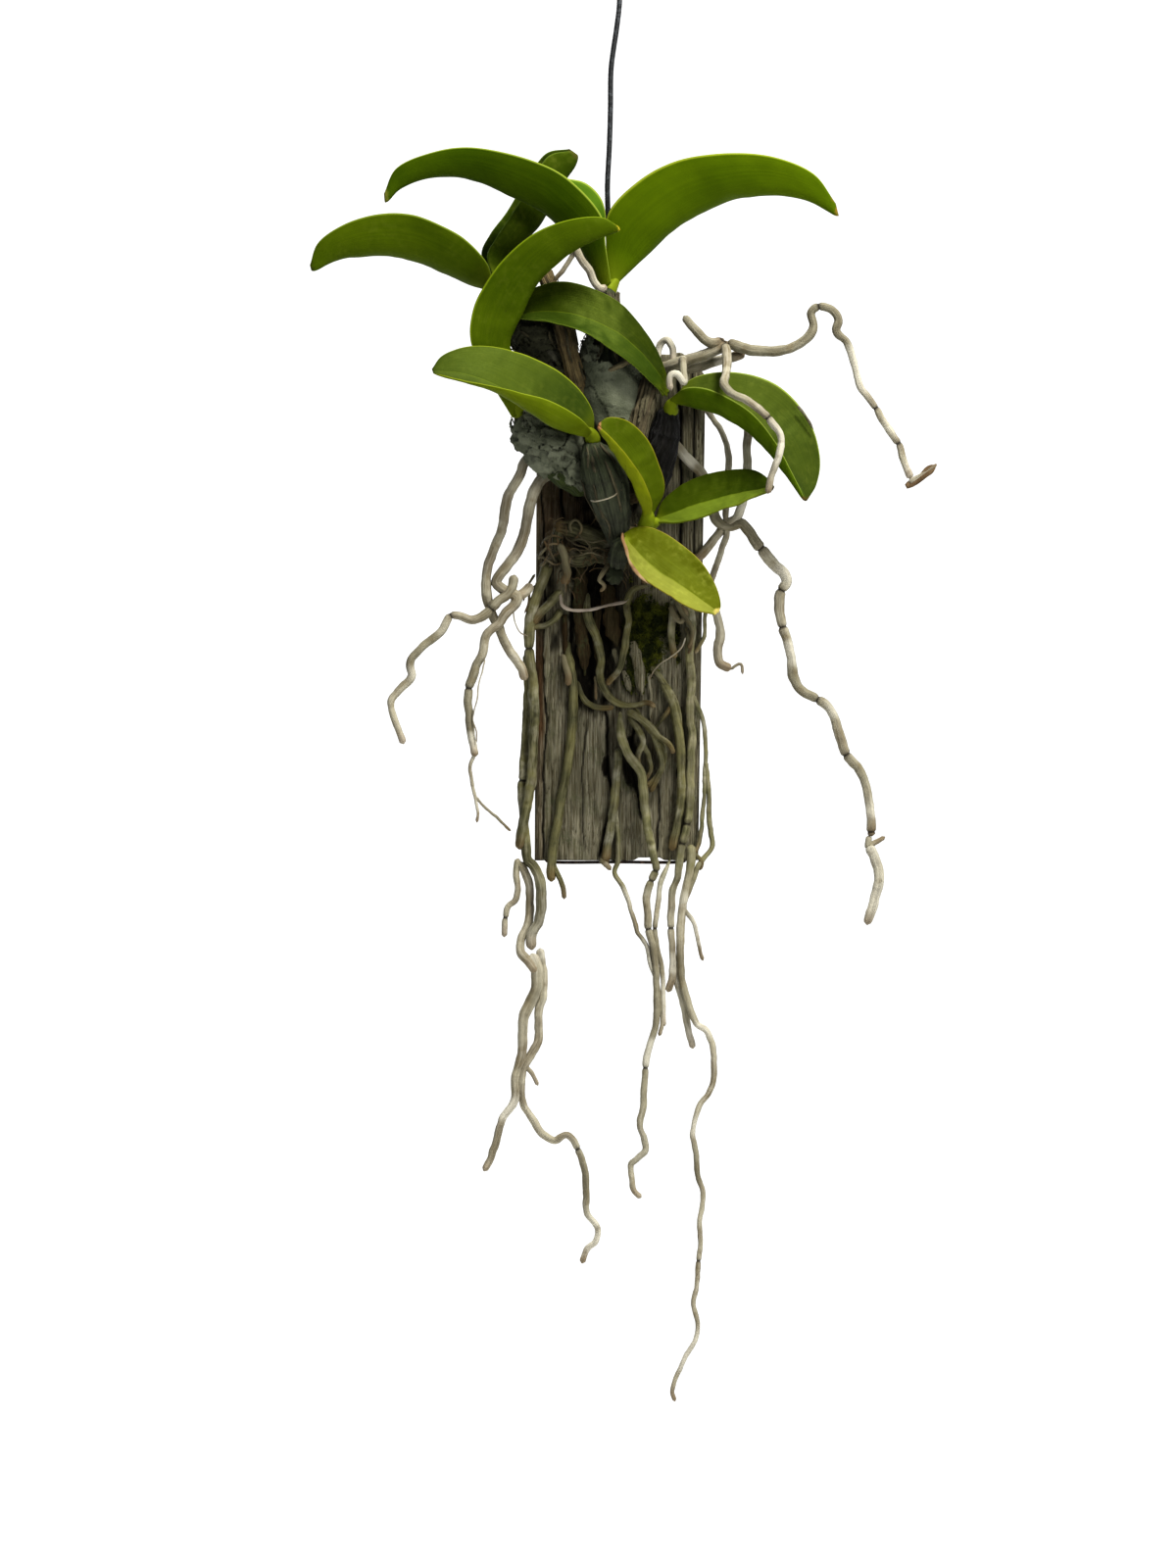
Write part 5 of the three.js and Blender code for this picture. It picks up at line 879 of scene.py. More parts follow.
# The plank: a ring of points round it at each height, and a grid over each end
def make_slab(material):
    columns, side_columns = SLAB_COLUMNS, SLAB_SIDE_COLUMNS
    share = np.linspace(0, 1, columns + 1)
    side = np.arange(1, side_columns) / side_columns
    corner_drop = (np.clip(share - TOP_CORNER_START, 0, 1) / (1 - TOP_CORNER_START)) ** 1.5
    ragged = RAGGED_TOP * (0.5 + 0.5 * line_noise(share * 19, 5))
    top_line = SLAB_HEIGHT - TOP_CORNER_DROP * corner_drop - ragged
    notch = BOTTOM_NOTCH["height"] * smoothstep(0, 0.04, share - BOTTOM_NOTCH["from"])
    notch *= smoothstep(0, 0.04, BOTTOM_NOTCH["to"] - share)
    bottom_line = notch - BOTTOM_DROP + 0.15 * line_noise(share * 31, 6)
    shares = np.concatenate([share, side * 0 + 1, share[::-1], side * 0])
    depth_share = np.concatenate([share * 0, side, share * 0 + 1, side[::-1]])
    top_ring, bottom_ring = np.interp(shares, share, top_line), np.interp(shares, share, bottom_line)
    height_share = np.linspace(0, 1, SLAB_ROWS)[:, None]
    z = bottom_ring + height_share * (top_ring - bottom_ring)
    left, right = (edge["bottom"] + height_share * (edge["top"] - edge["bottom"])
                   for edge in (SLAB_LEFT, SLAB_RIGHT))
    x = left + shares * (right - left)
    y = np.broadcast_to(depth_share * SLAB_THICKNESS, x.shape)
    depth, dark, bark = slab_wear(x, z)
    depth_back, dark_back, _ = slab_wear(x * 0.9 + 200, z + 300)
    depth_side, dark_side, _ = slab_wear(y + 400, z * 0.8 + 90)
    on_front, on_back = depth_share == 0, depth_share == 1
    on_side = ~(on_front | on_back)
    rounding = sum(EDGE_WEAR[edge] * np.clip(1 - from_edge / EDGE_WEAR["share"], 0, 1) ** 2
                   for edge, from_edge in (("left", shares), ("right", 1 - shares)))
    pushed = np.where(on_front, np.minimum(depth + rounding, DEEPEST_WEAR["front"]), 0)
    pulled = np.minimum(0.5 * depth_back + 0.4 * rounding, DEEPEST_WEAR["back"])
    y = y + pushed - np.where(on_back, pulled, 0)
    eaten = np.where(on_side, 0.7 * np.minimum(depth_side, DEEPEST_WEAR["side"]), 0)
    x = x + np.where(shares > 0.5, -1, 1) * eaten * np.sin(math.pi * depth_share)
    back_right, back_left = columns + side_columns, 2 * columns + side_columns
    for front_corner, back_corner, middle in ((columns, back_right, on_side & (shares > 0.5)),
                                              (0, back_left, on_side & (shares < 0.5))):
        y[:, middle] = (y[:, [front_corner]] * (1 - depth_share[middle])
                        + y[:, [back_corner]] * depth_share[middle])
    edge = x - left + 0.9 * line_noise(z / 9, 4)
    rusty = 0.35 + 0.65 * smoothstep(40, 56, z) * (1 - smoothstep(84, 100, z))
    rust = (1 - smoothstep(2.4, 4.2, edge)) * rusty
    warm = oval(x, z, *WARM_WOOD) + 0.4 * line_noise(x / 1.3, 14)
    rust = np.maximum(rust, 0.6 * (1 - smoothstep(0.6, 1.1, warm)))
    # Painted shade on the front, and weaker painted shade on the back and sides
    dark_marks = np.where(on_front, dark, np.where(on_back, dark_back * 0.7, dark_side * 0.8))
    marks = {"hollow": [dark_marks], "bark": [np.where(on_front, bark, 0)],
             "rust": [np.where(on_back, 0, rust)], "end": [x * 0]}
    rings = np.stack([x, y, z], axis=-1)
    ring_size = rings.shape[1]
    faces = loft_faces(SLAB_ROWS, ring_size)[:(SLAB_ROWS - 1) * ring_size]
    points = [rings.reshape(-1, 3)]
    for row, turn in ((0, 1), (SLAB_ROWS - 1, -1)):
        front = rings[row, 1:columns, None]
        back = rings[row, back_left - 1:back_right:-1, None]
        inner = front + (back - front) * side[:, None]
        dent = END_DENT * np.abs(np.sin(inner[..., 1] * 1.9 + 0.02 * inner[..., 0] ** 2))
        dent = dent * np.minimum(1, 6 * side * (1 - side))
        inner[..., 2] += turn * dent
        ring = row * ring_size + np.arange(ring_size)
        grid = np.zeros((columns + 1, side_columns + 1), int)
        grid[:, 0] = ring[:columns + 1]
        grid[-1, :] = ring[columns:back_right + 1]
        grid[:, -1] = ring[back_right:back_left + 1][::-1]
        grid[0, 1:-1] = ring[back_left + 1:][::-1]
        grid[1:-1, 1:-1] = sum(map(len, points)) + np.arange(dent.size).reshape(dent.shape)
        quads = grid_quads(grid).reshape(-1, 4)
        faces += (quads if turn > 0 else quads[:, ::-1]).tolist()
        points.append(inner.reshape(-1, 3))
        # The dents in the ends get painted shade by their depth
        for mark, value in (("hollow", dent), ("bark", dent * 0), ("rust", dent * 0), ("end", dent * 0 + 1)):
            marks[mark].append(value)
    marks = {mark: np.concatenate([values.ravel() for values in parts]) for mark, parts in marks.items()}
    return make_piece("slab_wood", np.vstack(points), faces, material, marks)


# The nodes of one tree, with short ways to add the kinds that recur. Patterns lie on the tree's
# own place, here. A scale is in repeats to a metre, and a mask rises from 0 to 1 as the noise goes
# from low to high.
class Nodes:
    def __init__(self, tree):
        self.tree = tree

    # Gives a node's inputs values or links, and returns its outputs
    def fill(self, node, inputs):
        for key, value in inputs.items():
            if isinstance(value, bpy.types.NodeSocket):
                self.tree.links.new(value, node.inputs[key])
            else:
                node.inputs[key].default_value = value
        return node.outputs

    def add(self, kind, inputs=None, **settings):
        made = self.tree.nodes.new(kind)
        for setting, value in settings.items():
            setattr(made, setting, value)
        return self.fill(made, inputs or {})

    def math(self, operation, first, second=0.0):
        return self.add("ShaderNodeMath", {0: first, 1: second}, operation=operation)["Value"]

    def times(self, first, second):
        return self.math("MULTIPLY", first, second)

    def weigh(self, first, first_weight, second, second_weight):
        return self.math("ADD", self.times(first, first_weight), self.times(second, second_weight))

    def climb(self, value, low, high, to_low=0.0, to_high=1.0):
        return self.add("ShaderNodeMapRange", {"Value": value, "From Min": low, "From Max": high,
                                               "To Min": to_low, "To Max": to_high},
                        interpolation_type="SMOOTHSTEP")["Result"]

    def mix(self, first, second, share):
        return self.add("ShaderNodeMix", {0: share, 6: first, 7: second}, data_type="RGBA")[2]

    # Lays a screen color over another color by a mask, or by a share of it
    def tint(self, color, over, mask, share=None):
        return self.mix(color, screen_color(*over), mask if share is None else self.times(mask, share))

    # A screen color that turns into another one as the mask rises
    def fade(self, first, second, mask):
        return self.mix(screen_color(*first), screen_color(*second), mask)

    def mark(self, name):
        return self.add("ShaderNodeAttribute", attribute_name=name)["Fac"]

    def vector(self, x, y, z):
        return self.add("ShaderNodeCombineXYZ", {"X": x, "Y": y, "Z": z})["Vector"]

    # A place that follows a rod, for patterns that run round it and along it
    def round_place(self):
        angle = self.times(self.mark("around"), 2 * math.pi)
        return self.vector(self.math("COSINE", angle), self.math("SINE", angle), self.mark("reach"))

    def blotches(self, scale, low=0.4, high=0.6):
        return self.add("ShaderNodeGroup", {"Vector": self.here, "Scale": scale, "Low": low, "High": high},
                        node_tree=blotch_tree)["Mask"]

    def streaks(self, vector, across, along, low, high):
        return self.add("ShaderNodeGroup", {"Vector": vector, "Across": across, "Along": along,
                                            "Low": low, "High": high},
                        node_tree=streak_tree)["Streaks"]


# A color from its 0 to 255 values on a screen
def screen_color(red, green, blue):
    channels = [value / 255 for value in (red, green, blue)]
    return (*[part / 12.92 if part <= 0.04045 else ((part + 0.055) / 1.055) ** 2.4 for part in channels], 1)


# A node tree whose sockets are each given by a default number or by their kind
def new_tree(name, kind, inputs, outputs):
    tree = bpy.data.node_groups.new(name, kind)
    for in_out, sockets in (("INPUT", inputs), ("OUTPUT", outputs)):
        for socket, value in sockets.items():
            number = {int: "Int", float: "Float"}.get(type(value))
            made = tree.interface.new_socket(socket, in_out=in_out,
                                             socket_type="NodeSocket" + (number or value))
            if number:
                made.default_value = value
    return Nodes(tree), tree.nodes.new("NodeGroupInput").outputs, tree.nodes.new("NodeGroupOutput")


# Every growing tree ends here: its instances become real, and it gets its material
def finish_tree(nodes, geometry, material, result):
    real = nodes.add("GeometryNodeRealizeInstances", {"Geometry": geometry})["Geometry"]
    dressed = nodes.add("GeometryNodeSetMaterial", {"Geometry": real, "Material": material})
    nodes.fill(result, {0: dressed["Geometry"]})
    return nodes.tree


# A mesh that a node tree makes from a piece, which then keeps the result as its own plain mesh
def apply_tree(piece, tree, values):
    modifier = piece.modifiers.new("growth", "NODES")
    modifier.node_group = tree
    for item in tree.interface.items_tree:
        if item.item_type == "SOCKET" and item.in_out == "INPUT" and item.name in values:
            modifier[item.identifier] = values[item.name]
    return apply_modifier(piece, modifier)


# Sweeps every line of a piece into a round root or thread. The lines carry their own thickness,
# and the skin is roughened with lumps.
def root_skin_tree():
    nodes, given, result = new_tree(
        "root skin", "GeometryNodeTree",
        {"Lines": "Geometry", "Sides": ROOT_SIDES, "Lump Size": 0.003, "Lump Height": 0.0003,
         "Material": "Material"}, {"Skin": "Geometry"})
    routes = nodes.add("GeometryNodeMeshToCurve", {"Mesh": given["Lines"]})["Curve"]
    circle = nodes.add("GeometryNodeCurvePrimitiveCircle", {"Resolution": given["Sides"], "Radius": 1.0})
    turn = nodes.add("GeometryNodeSplineParameter")["Factor"]
    profile = nodes.add("GeometryNodeStoreNamedAttribute",
                        {"Geometry": circle["Curve"], "Name": "around", "Value": turn},
                        data_type="FLOAT", domain="POINT")["Geometry"]
    thickness = nodes.add("GeometryNodeInputNamedAttribute", {"Name": "thickness"}, data_type="FLOAT")
    swept = nodes.add("GeometryNodeCurveToMesh", {"Curve": routes, "Profile Curve": profile,
                                                  "Scale": thickness["Attribute"], "Fill Caps": True})
    size = nodes.math("DIVIDE", 1.0, given["Lump Size"])
    place = nodes.add("GeometryNodeInputPosition")["Position"]
    lumps = nodes.add("ShaderNodeTexNoise", {"Vector": place, "Scale": size, "Detail": 3.0})["Fac"]
    height = nodes.times(nodes.math("SUBTRACT", lumps, 0.5), given["Lump Height"])
    outward = nodes.add("GeometryNodeInputNormal")["Normal"]
    offset = nodes.add("ShaderNodeVectorMath", {0: outward, "Scale": height}, operation="SCALE")["Vector"]
    rough = nodes.add("GeometryNodeSetPosition", {"Geometry": swept["Mesh"], "Offset": offset})["Geometry"]
    smooth = nodes.add("GeometryNodeSetShadeSmooth", {"Geometry": rough})["Geometry"]
    return finish_tree(nodes, smooth, given["Material"], result)


# Scatters small pointed sprigs over a surface, standing out of it and leaning at random
def sprig_tree():
    nodes, given, result = new_tree(
        "sprigs", "GeometryNodeTree",
        {"Surface": "Geometry", "Mark": "String", "Density": 1e6, "Length": 0.001, "Width": 0.0002,
         "Lean": 0.6, "Seed": 1, "Material": "Material"}, {"Sprigs": "Geometry"})
    share = nodes.add("GeometryNodeInputNamedAttribute", {"Name": given["Mark"]}, data_type="FLOAT")
    density = nodes.times(given["Density"], share["Attribute"])
    spots = nodes.add("GeometryNodeDistributePointsOnFaces",
                      {"Mesh": given["Surface"], "Density": density, "Seed": given["Seed"]},
                      distribute_method="RANDOM")
    sprig = nodes.add("GeometryNodeMeshCone", {"Vertices": 4, "Radius Top": 0.0,
                                               "Radius Bottom": given["Width"], "Depth": given["Length"]})
    least = nodes.times(given["Lean"], -1.0)
    lean = nodes.add("FunctionNodeRandomValue", {"Min": least, "Max": given["Lean"], "Seed": given["Seed"]},
                     data_type="FLOAT_VECTOR")["Value"]
    turned = nodes.add("FunctionNodeEulerToRotation", {"Euler": lean})["Rotation"]
    rotation = nodes.add("FunctionNodeRotateRotation",
                         {"Rotation": spots["Rotation"], "Rotate By": turned}, rotation_space="LOCAL")
    scale = nodes.add("FunctionNodeRandomValue", {2: 0.5, 3: 1.4, "Seed": given["Seed"]},
                      data_type="FLOAT")[1]
    placed = nodes.add("GeometryNodeInstanceOnPoints",
                       {"Points": spots["Points"], "Instance": sprig["Mesh"],
                        "Rotation": rotation["Rotation"], "Scale": scale})["Instances"]
    return finish_tree(nodes, placed, given["Material"], result)


root_skin = root_skin_tree()
sprigs = sprig_tree()


# The line of one root, with its marks: thickness in metres, joint where the skin has cracked
# round it, moss where it lies on wet wood, reach in metres, shade and white where the skin is
# darker or paler, and tip near the free end
def root_line(stop_radii, stops, moss_on_slab, seed, slimness=0.0, sunk=False):
    points, numbers, reach = trace(stops, step=ROOT_STEP)
    radii = np.interp(numbers, np.arange(len(stops)), stop_radii)
    radii = radii * (1 - slimness * np.sin(math.pi * reach / reach[-1]))
    noise_at = join_axes(reach / 5, seed, 0)
    sway = np.stack([layered_noise(noise_at + 7 * axis, axis, 2) for axis in range(3)], axis=-1)
    points = points + ROOT_SWAY * sway
    lumps = line_noise(reach / 7, seed) + 0.5 * line_noise(reach / 2.2, seed + 1)
    radii = radii * (1 + ROOT_LUMPS * lumps)
    joints = np.zeros(len(points))
    for joint_x, joint_z in ROOT_JOINTS:
        away = np.hypot(points[:, 0] - joint_x, points[:, 2] - joint_z)
        nearest = int(np.argmin(away))
        if away[nearest] < JOINT_SEARCH:
            joints = np.maximum(joints, np.exp(-((reach - reach[nearest]) / JOINT_WIDTH) ** 2))
    radii = radii * (1 - JOINT_PINCH * joints)
    if sunk:
        inside = 1 - smoothstep(0, ROOT_SINK["length"], reach)
        radii = radii * (1 - ROOT_SINK["taper"] * inside)
        points[:, 1] += ROOT_SINK["depth"] * inside
    for room in (reach[-1] - reach, reach):
        radii = radii * round_ends(1 - np.clip(room / radii, 0, 1), 2, 0.03)
    return points, {
        "thickness": radii * MM,
        "joint": joints,
        "moss": moss_on_slab * smoothstep(MOSS_FADE["below"], MOSS_FADE["above"], points[:, 2]),
        "reach": reach * MM,
        "shade": smoothstep(-0.1, 0.5, line_noise(reach / 17, seed + 40)),
        "white": smoothstep(0.1, 0.6, line_noise(reach / 11, seed + 60)),
        "tip": smoothstep(TIP_LENGTH, 0, reach[-1] - reach),
    }


# One piece from several lines, swept by the skin tree
def sweep_lines(name, lines, material, sides, lump_height=0.0, lump_size=3.0):
    edges, first = [], 0
    for points, _ in lines:
        edges += [(first + index, first + index + 1) for index in range(len(points) - 1)]
        first += len(points)
    marks = {mark: np.concatenate([given[mark] for _, given in lines]) for mark in lines[0][1]}
    piece = make_piece(name, np.vstack([points for points, _ in lines]), [], marks=marks, edges=edges)
    return apply_tree(piece, root_skin, {"Sides": sides, "Material": material,
                                         "Lump Height": lump_height * MM, "Lump Size": lump_size * MM})


def grow_sprigs(host, name, slot, values):
    grown = bpy.data.objects.new(name, host.data.copy())
    bpy.context.scene.collection.objects.link(grown)
    ride_along(apply_tree(grown, sprigs, values), slot)


def wire_line(stops, radius, waver, seed):
    points, _, reach = trace(stops, step=WIRE_STEP)
    points[:, 0] += waver * smooth_noise(join_axes(reach / 16, seed, 0), seed)
    return points, {"thickness": np.full(len(points), radius * MM), "reach": reach * MM}


# Fine dead hairs that stick out of the rhizome at random
def fuzz_lines(stems, count, seed):
    chance = np.random.default_rng(seed)
    lines = []
    for number in range(count):
        points, radii, *_ = trace_rod(stems[int(chance.integers(len(stems)))], 2)
        place = int(chance.integers(len(points)))
        away = chance.normal(0, 1, 3) * (1, 0.6, 1) + (0, -0.8, -0.3)
        away /= np.linalg.norm(away)
        length = chance.uniform(4, 11)
        bend = chance.normal(0, 0.35, (2, 3))
        start = points[place] + away * radii[place] * 0.7
        stops = [start, start + away * length * 0.35 + bend[0] * 2,
                 start + away * length * 0.6 + bend[1] * 4 + (0, 0, -length * 0.15),
                 start + away * length * 0.75 + bend[1] * 5 + (0, 0, -length * 0.4)]
        stops = [(x, min(y, -1), z) for x, y, z in stops]
        lines.append(root_line([chance.uniform(0.25, 0.6), 0.3, 0.25, 0.15], stops, 0.3, 700 + number))
    return lines


# A material with an empty tree and its surface shader; fixed values go on the shader itself
class Material(Nodes):
    def __init__(self, name, **fixed):
        self.material = bpy.data.materials.new(name)
        self.material.use_nodes = True
        super().__init__(self.material.node_tree)
        self.tree.nodes.clear()
        self.here = self.add("ShaderNodeTexCoord")["Object"]
        self.shader = self.tree.nodes.new("ShaderNodeBsdfPrincipled")
        self.fill(self.shader, {socket.replace("_", " "): value for socket, value in fixed.items()})
        self.add("ShaderNodeOutputMaterial", {"Surface": self.shader.outputs["BSDF"]})

    def surface(self, color, roughness, height=None, bump=0.0003):
        self.fill(self.shader, {"Base Color": color, "Roughness": roughness})
        if height is not None:
            relief = self.add("ShaderNodeBump", {"Height": height, "Distance": bump, "Strength": 1.0})
            self.fill(self.shader, {"Normal": relief["Normal"]})
        return self.material


# Uneven blotches: a mask from 0 to 1 with its own size and edges
def blotch_group():
    nodes, given, result = new_tree(
        "blotches", "ShaderNodeTree", {"Vector": "Vector", "Scale": 100.0, "Low": 0.4, "High": 0.6},
        {"Mask": "Float"})
    noise = nodes.add("ShaderNodeTexNoise", {"Vector": given["Vector"], "Scale": given["Scale"],
                                             "Detail": 4.0})["Fac"]
    nodes.fill(result, {"Mask": nodes.climb(noise, given["Low"], given["High"])})
    return nodes.tree


# Streaks that are long in one direction, from a vector stretched along its third axis
def streak_group():
    nodes, given, result = new_tree(
        "streaks", "ShaderNodeTree",
        {"Vector": "Vector", "Across": 400.0, "Along": 20.0, "Low": 0.35, "High": 0.65},
        {"Streaks": "Float"})
    scale = nodes.vector(given["Across"], given["Across"], given["Along"])
    stretched = nodes.add("ShaderNodeVectorMath", {0: given["Vector"], 1: scale}, operation="MULTIPLY")
    noise = nodes.add("ShaderNodeTexNoise", {"Vector": stretched["Vector"], "Scale": 1.0, "Detail": 5.0,
                                             "Roughness": 0.62})["Fac"]
    nodes.fill(result, {"Streaks": nodes.climb(noise, given["Low"], given["High"])})
    return nodes.tree


blotch_tree = blotch_group()
streak_tree = streak_group()
LEAF_COLORS = ("Near Outer", "Far Outer", "Near Inner", "Far Inner", "Margin", "Tip")


# The leaf's coloring: each half and face has its color, painted lighter or darker as the light
# falls on it besides the real difference of the two faces, with a pale margin, a keel line, fine
# veins, pale mottling with age, small scars, a yellow foot and a brown or yellow tip
def leaf_group():
    look, given, result = new_tree(
        "leaf coloring", "ShaderNodeTree",
        {"Across": 0.0, "Along": 0.0, "Inner": 0.0, "Vector": "Vector", "Tip Start": 0.97,
         "Ripeness": 0.0, **dict.fromkeys(LEAF_COLORS, "Color")},
        {"Color": "Color", "Roughness": "Float", "Height": "Float"})
    across, along, inner, look.here = (given[name] for name in ("Across", "Along", "Inner", "Vector"))
    # Painted light and shade: each half and face takes its own color
    near = look.climb(across, 0.04, -0.04)
    color = look.mix(look.mix(given["Far Outer"], given["Near Outer"], near),
                     look.mix(given["Far Inner"], given["Near Inner"], near), inner)
    veins = look.streaks(look.vector(across, inner, along), 30.0, 1.2, 0.3, 0.7)
    fine = look.blotches(1400.0, 0.35, 0.65)
    broad = look.blotches(38.0, 0.3, 0.7)
    color = look.mix(look.tint(color, (14, 26, 0), 0.22), look.tint(color, (150, 160, 24), 0.07),
                     look.weigh(veins, 0.35, broad, 0.65))
    reach = look.math("ABSOLUTE", across)
    color = look.tint(color, (120, 134, 30), look.climb(reach, 0.035, 0.0, 0.0, 0.22))
    mottled = look.times(look.blotches(420.0, 0.42, 0.8), look.blotches(90.0, 0.35, 0.6))
    color = look.tint(color, (176, 180, 84), mottled, given["Ripeness"])
    color = look.tint(color, (44, 40, 18), look.blotches(520.0, 0.74, 0.78), 0.75)
    color = look.tint(color, (112, 122, 26), look.climb(along, 0.15, 0.0, 0.0, 0.5))
    color = look.mix(color, given["Margin"], look.climb(reach, 0.974, 0.99))
    ragged = look.math("ADD", along, look.times(look.blotches(300.0, 0.3, 0.7), 0.03))
    past_tip = look.math("SUBTRACT", ragged, given["Tip Start"])
    color = look.mix(color, given["Tip"], look.climb(past_tip, 0.005, 0.03))
    roughness = look.math("ADD", look.weigh(broad, 0.12, fine, 0.05), 0.42)
    height = look.weigh(veins, 0.7, fine, 0.15)
    look.fill(result, {"Color": color, "Roughness": roughness, "Height": height})
    return look.tree


leaf_tree = leaf_group()


def leaf_material(name, colors, tip_start, ripeness):
    look = Material(name, Specular_IOR_Level=0.2, Specular_Tint=(0.7, 0.9, 0.1, 1))
    inputs = {mark.capitalize(): look.mark(mark) for mark in ("across", "along", "inner")}
    inputs |= {"Vector": look.here, "Tip Start": tip_start, "Ripeness": ripeness}
    inputs |= {socket: screen_color(*color) for socket, color in zip(LEAF_COLORS, colors)}
    made = look.add("ShaderNodeGroup", inputs, node_tree=leaf_tree)
    return look.surface(made["Color"], made["Roughness"], made["Height"], 0.00005)


# The skin of a root: dry and silvery in the air, green with moss on the wood, dark where cracked, with pale
# lengthwise fiber streaks that are partly painted highlights
def root_material(name, pale, tan, moss_light, moss_dark, white_and_highlight=(226, 222, 206)):
    look = Material(name, Specular_IOR_Level=0.22)
    fibers = look.streaks(look.round_place(), 2.4, 90.0, 0.3, 0.7)
    patches = look.blotches(95.0, 0.36, 0.64)
    stains = look.blotches(210.0, 0.56, 0.72)
    grain = look.blotches(1100.0, 0.3, 0.7)
    # Pale fiber streaks, partly painted highlights along the fibers
    dry = look.tint(look.fade(tan, pale, patches), white_and_highlight, fibers, 0.28)
    dry = look.tint(dry, (98, 94, 72), look.mark("shade"), 0.5)
    dry = look.tint(dry, white_and_highlight, look.mark("white"), 0.5)
    dry = look.tint(dry, (112, 98, 66), stains, 0.45)
    # Paler fiber streaks on the moss, partly painted highlights
    green = look.tint(look.fade(moss_dark, moss_light, patches), (146, 142, 104), fibers, 0.4)
    green = look.tint(green, (34, 34, 18), stains, 0.5)
    uneven = look.math("ADD", look.times(look.blotches(240.0, 0.25, 0.75), 0.5), 0.65)
    color = look.mix(dry, green, look.climb(look.times(look.mark("moss"), uneven), 0.1, 0.8))
    color = look.tint(color, (74, 66, 46), grain, 0.08)
    color = look.tint(color, (110, 82, 48), look.mark("tip"), 0.45)
    color = look.tint(color, (30, 24, 16), look.mark("joint"))
    return look.surface(color, look.climb(fibers, 0.0, 1.0, 0.85, 0.62),
                        look.weigh(fibers, 0.7, grain, 0.3), 0.00018)


# Weathered wood with a rusty edge, mossy bark and end grain, and painted shade in its grooves, cracks,
# hollows and dents and behind the plant
def wood_material(name, pale, gray, brown):
    look = Material(name, Specular_IOR_Level=0.12)
    hair = look.streaks(look.here, 2300.0, 70.0, 0.36, 0.64)
    fine = look.streaks(look.here, 900.0, 26.0, 0.34, 0.66)
    color = look.tint(look.fade(brown, gray, fine), pale, hair, 0.55)
    color = look.tint(color, (78, 72, 50), look.streaks(look.here, 210.0, 9.0, 0.38, 0.62), 0.4)
    color = look.tint(color, (54, 52, 32), look.blotches(48.0, 0.5, 0.68), 0.3)
    algae = look.times(look.blotches(80.0, 0.5, 0.7), look.blotches(900.0, 0.35, 0.65))
    color = look.tint(color, (82, 92, 62), algae, 0.55)
    color = look.tint(color, (92, 64, 38), look.mark("rust"), 0.85)
    bark = look.fade((34, 28, 18), (70, 74, 26), look.blotches(380.0, 0.45, 0.62))
    color = look.mix(color, bark, look.mark("bark"))
    rings = look.streaks(look.here, 500.0, 500.0, 0.3, 0.7)
    color = look.mix(color, look.fade((56, 46, 32), (110, 100, 78), rings), look.mark("end"))
    # Painted shade in the grooves, cracks, hollows and dents and behind the plant
    color = look.tint(color, (17, 13, 8), look.mark("hollow"))
    return look.surface(color, 0.92, look.weigh(fine, 0.5, hair, 0.55), 0.0005)


# The skin of a bulb or cane: two colors in lengthwise streaks, painted shade in its hollows, rings and specks
def bulb_material(name, light, dark, ring, roughness=0.75, green=(0, 0, 0), green_share=0.0, specks=0.0):
    look = Material(name, Specular_IOR_Level=0.35)
    fibers = look.streaks(look.round_place(), 9.0, 60.0, 0.35, 0.65)
    patches = look.blotches(150.0, 0.35, 0.65)
    color = look.fade(dark, light, look.weigh(fibers, 0.6, patches, 0.4))
    color = look.tint(color, green, look.climb(look.mark("share"), 0.35, 0.95), green_share)
    color = look.tint(color, (24, 22, 18), look.blotches(620.0, 0.68, 0.72), specks)
    color = look.tint(color, ring, look.mark("knot"), 0.5)
    # Painted shade in the hollows between ribs and lumps
    color = look.tint(color, (26, 25, 20), look.climb(look.mark("hollow"), 0.5, 1.0), 0.6)
    return look.surface(color, roughness, fibers, 0.0005)


# Dry papery sheath or dead fiber: chalky gray and buff plates with stains, and painted shade in the cracks
def paper_material(name, pale, gray, stain, stain_share=0.5):
    look = Material(name, Specular_IOR_Level=0.15)
    broad = look.blotches(110.0, 0.3, 0.7)
    fine = look.blotches(1300.0, 0.3, 0.7)
    color = look.fade(gray, pale, look.weigh(broad, 0.5, look.mark("plate"), 0.5))
    color = look.tint(color, stain, look.blotches(210.0, 0.56, 0.7), stain_share)
    color = look.tint(color, stain, look.blotches(800.0, 0.7, 0.74), 0.8)
    # Painted shade in the cracks between the plates
    color = look.tint(color, (20, 20, 14), look.mark("crack"), 0.85)
    return look.surface(color, 0.9, look.weigh(fine, 0.4, broad, 0.6))


def wire_material(name, base, dust, roughness):
    look = Material(name, Specular_IOR_Level=0.5)
    color = look.fade(base, dust, look.blotches(500.0, 0.5, 0.75))
    rough = look.climb(look.blotches(220.0, 0.3, 0.7), 0.0, 1.0, roughness, roughness + 0.2)
    return look.surface(color, rough, look.blotches(1400.0, 0.3, 0.7), 0.00008)


# A plain matt finish in two colors
def plain_material(name, first, second, scale, roughness, **fixed):
    look = Material(name, **fixed)
    return look.surface(look.fade(first, second, look.blotches(scale)), roughness)
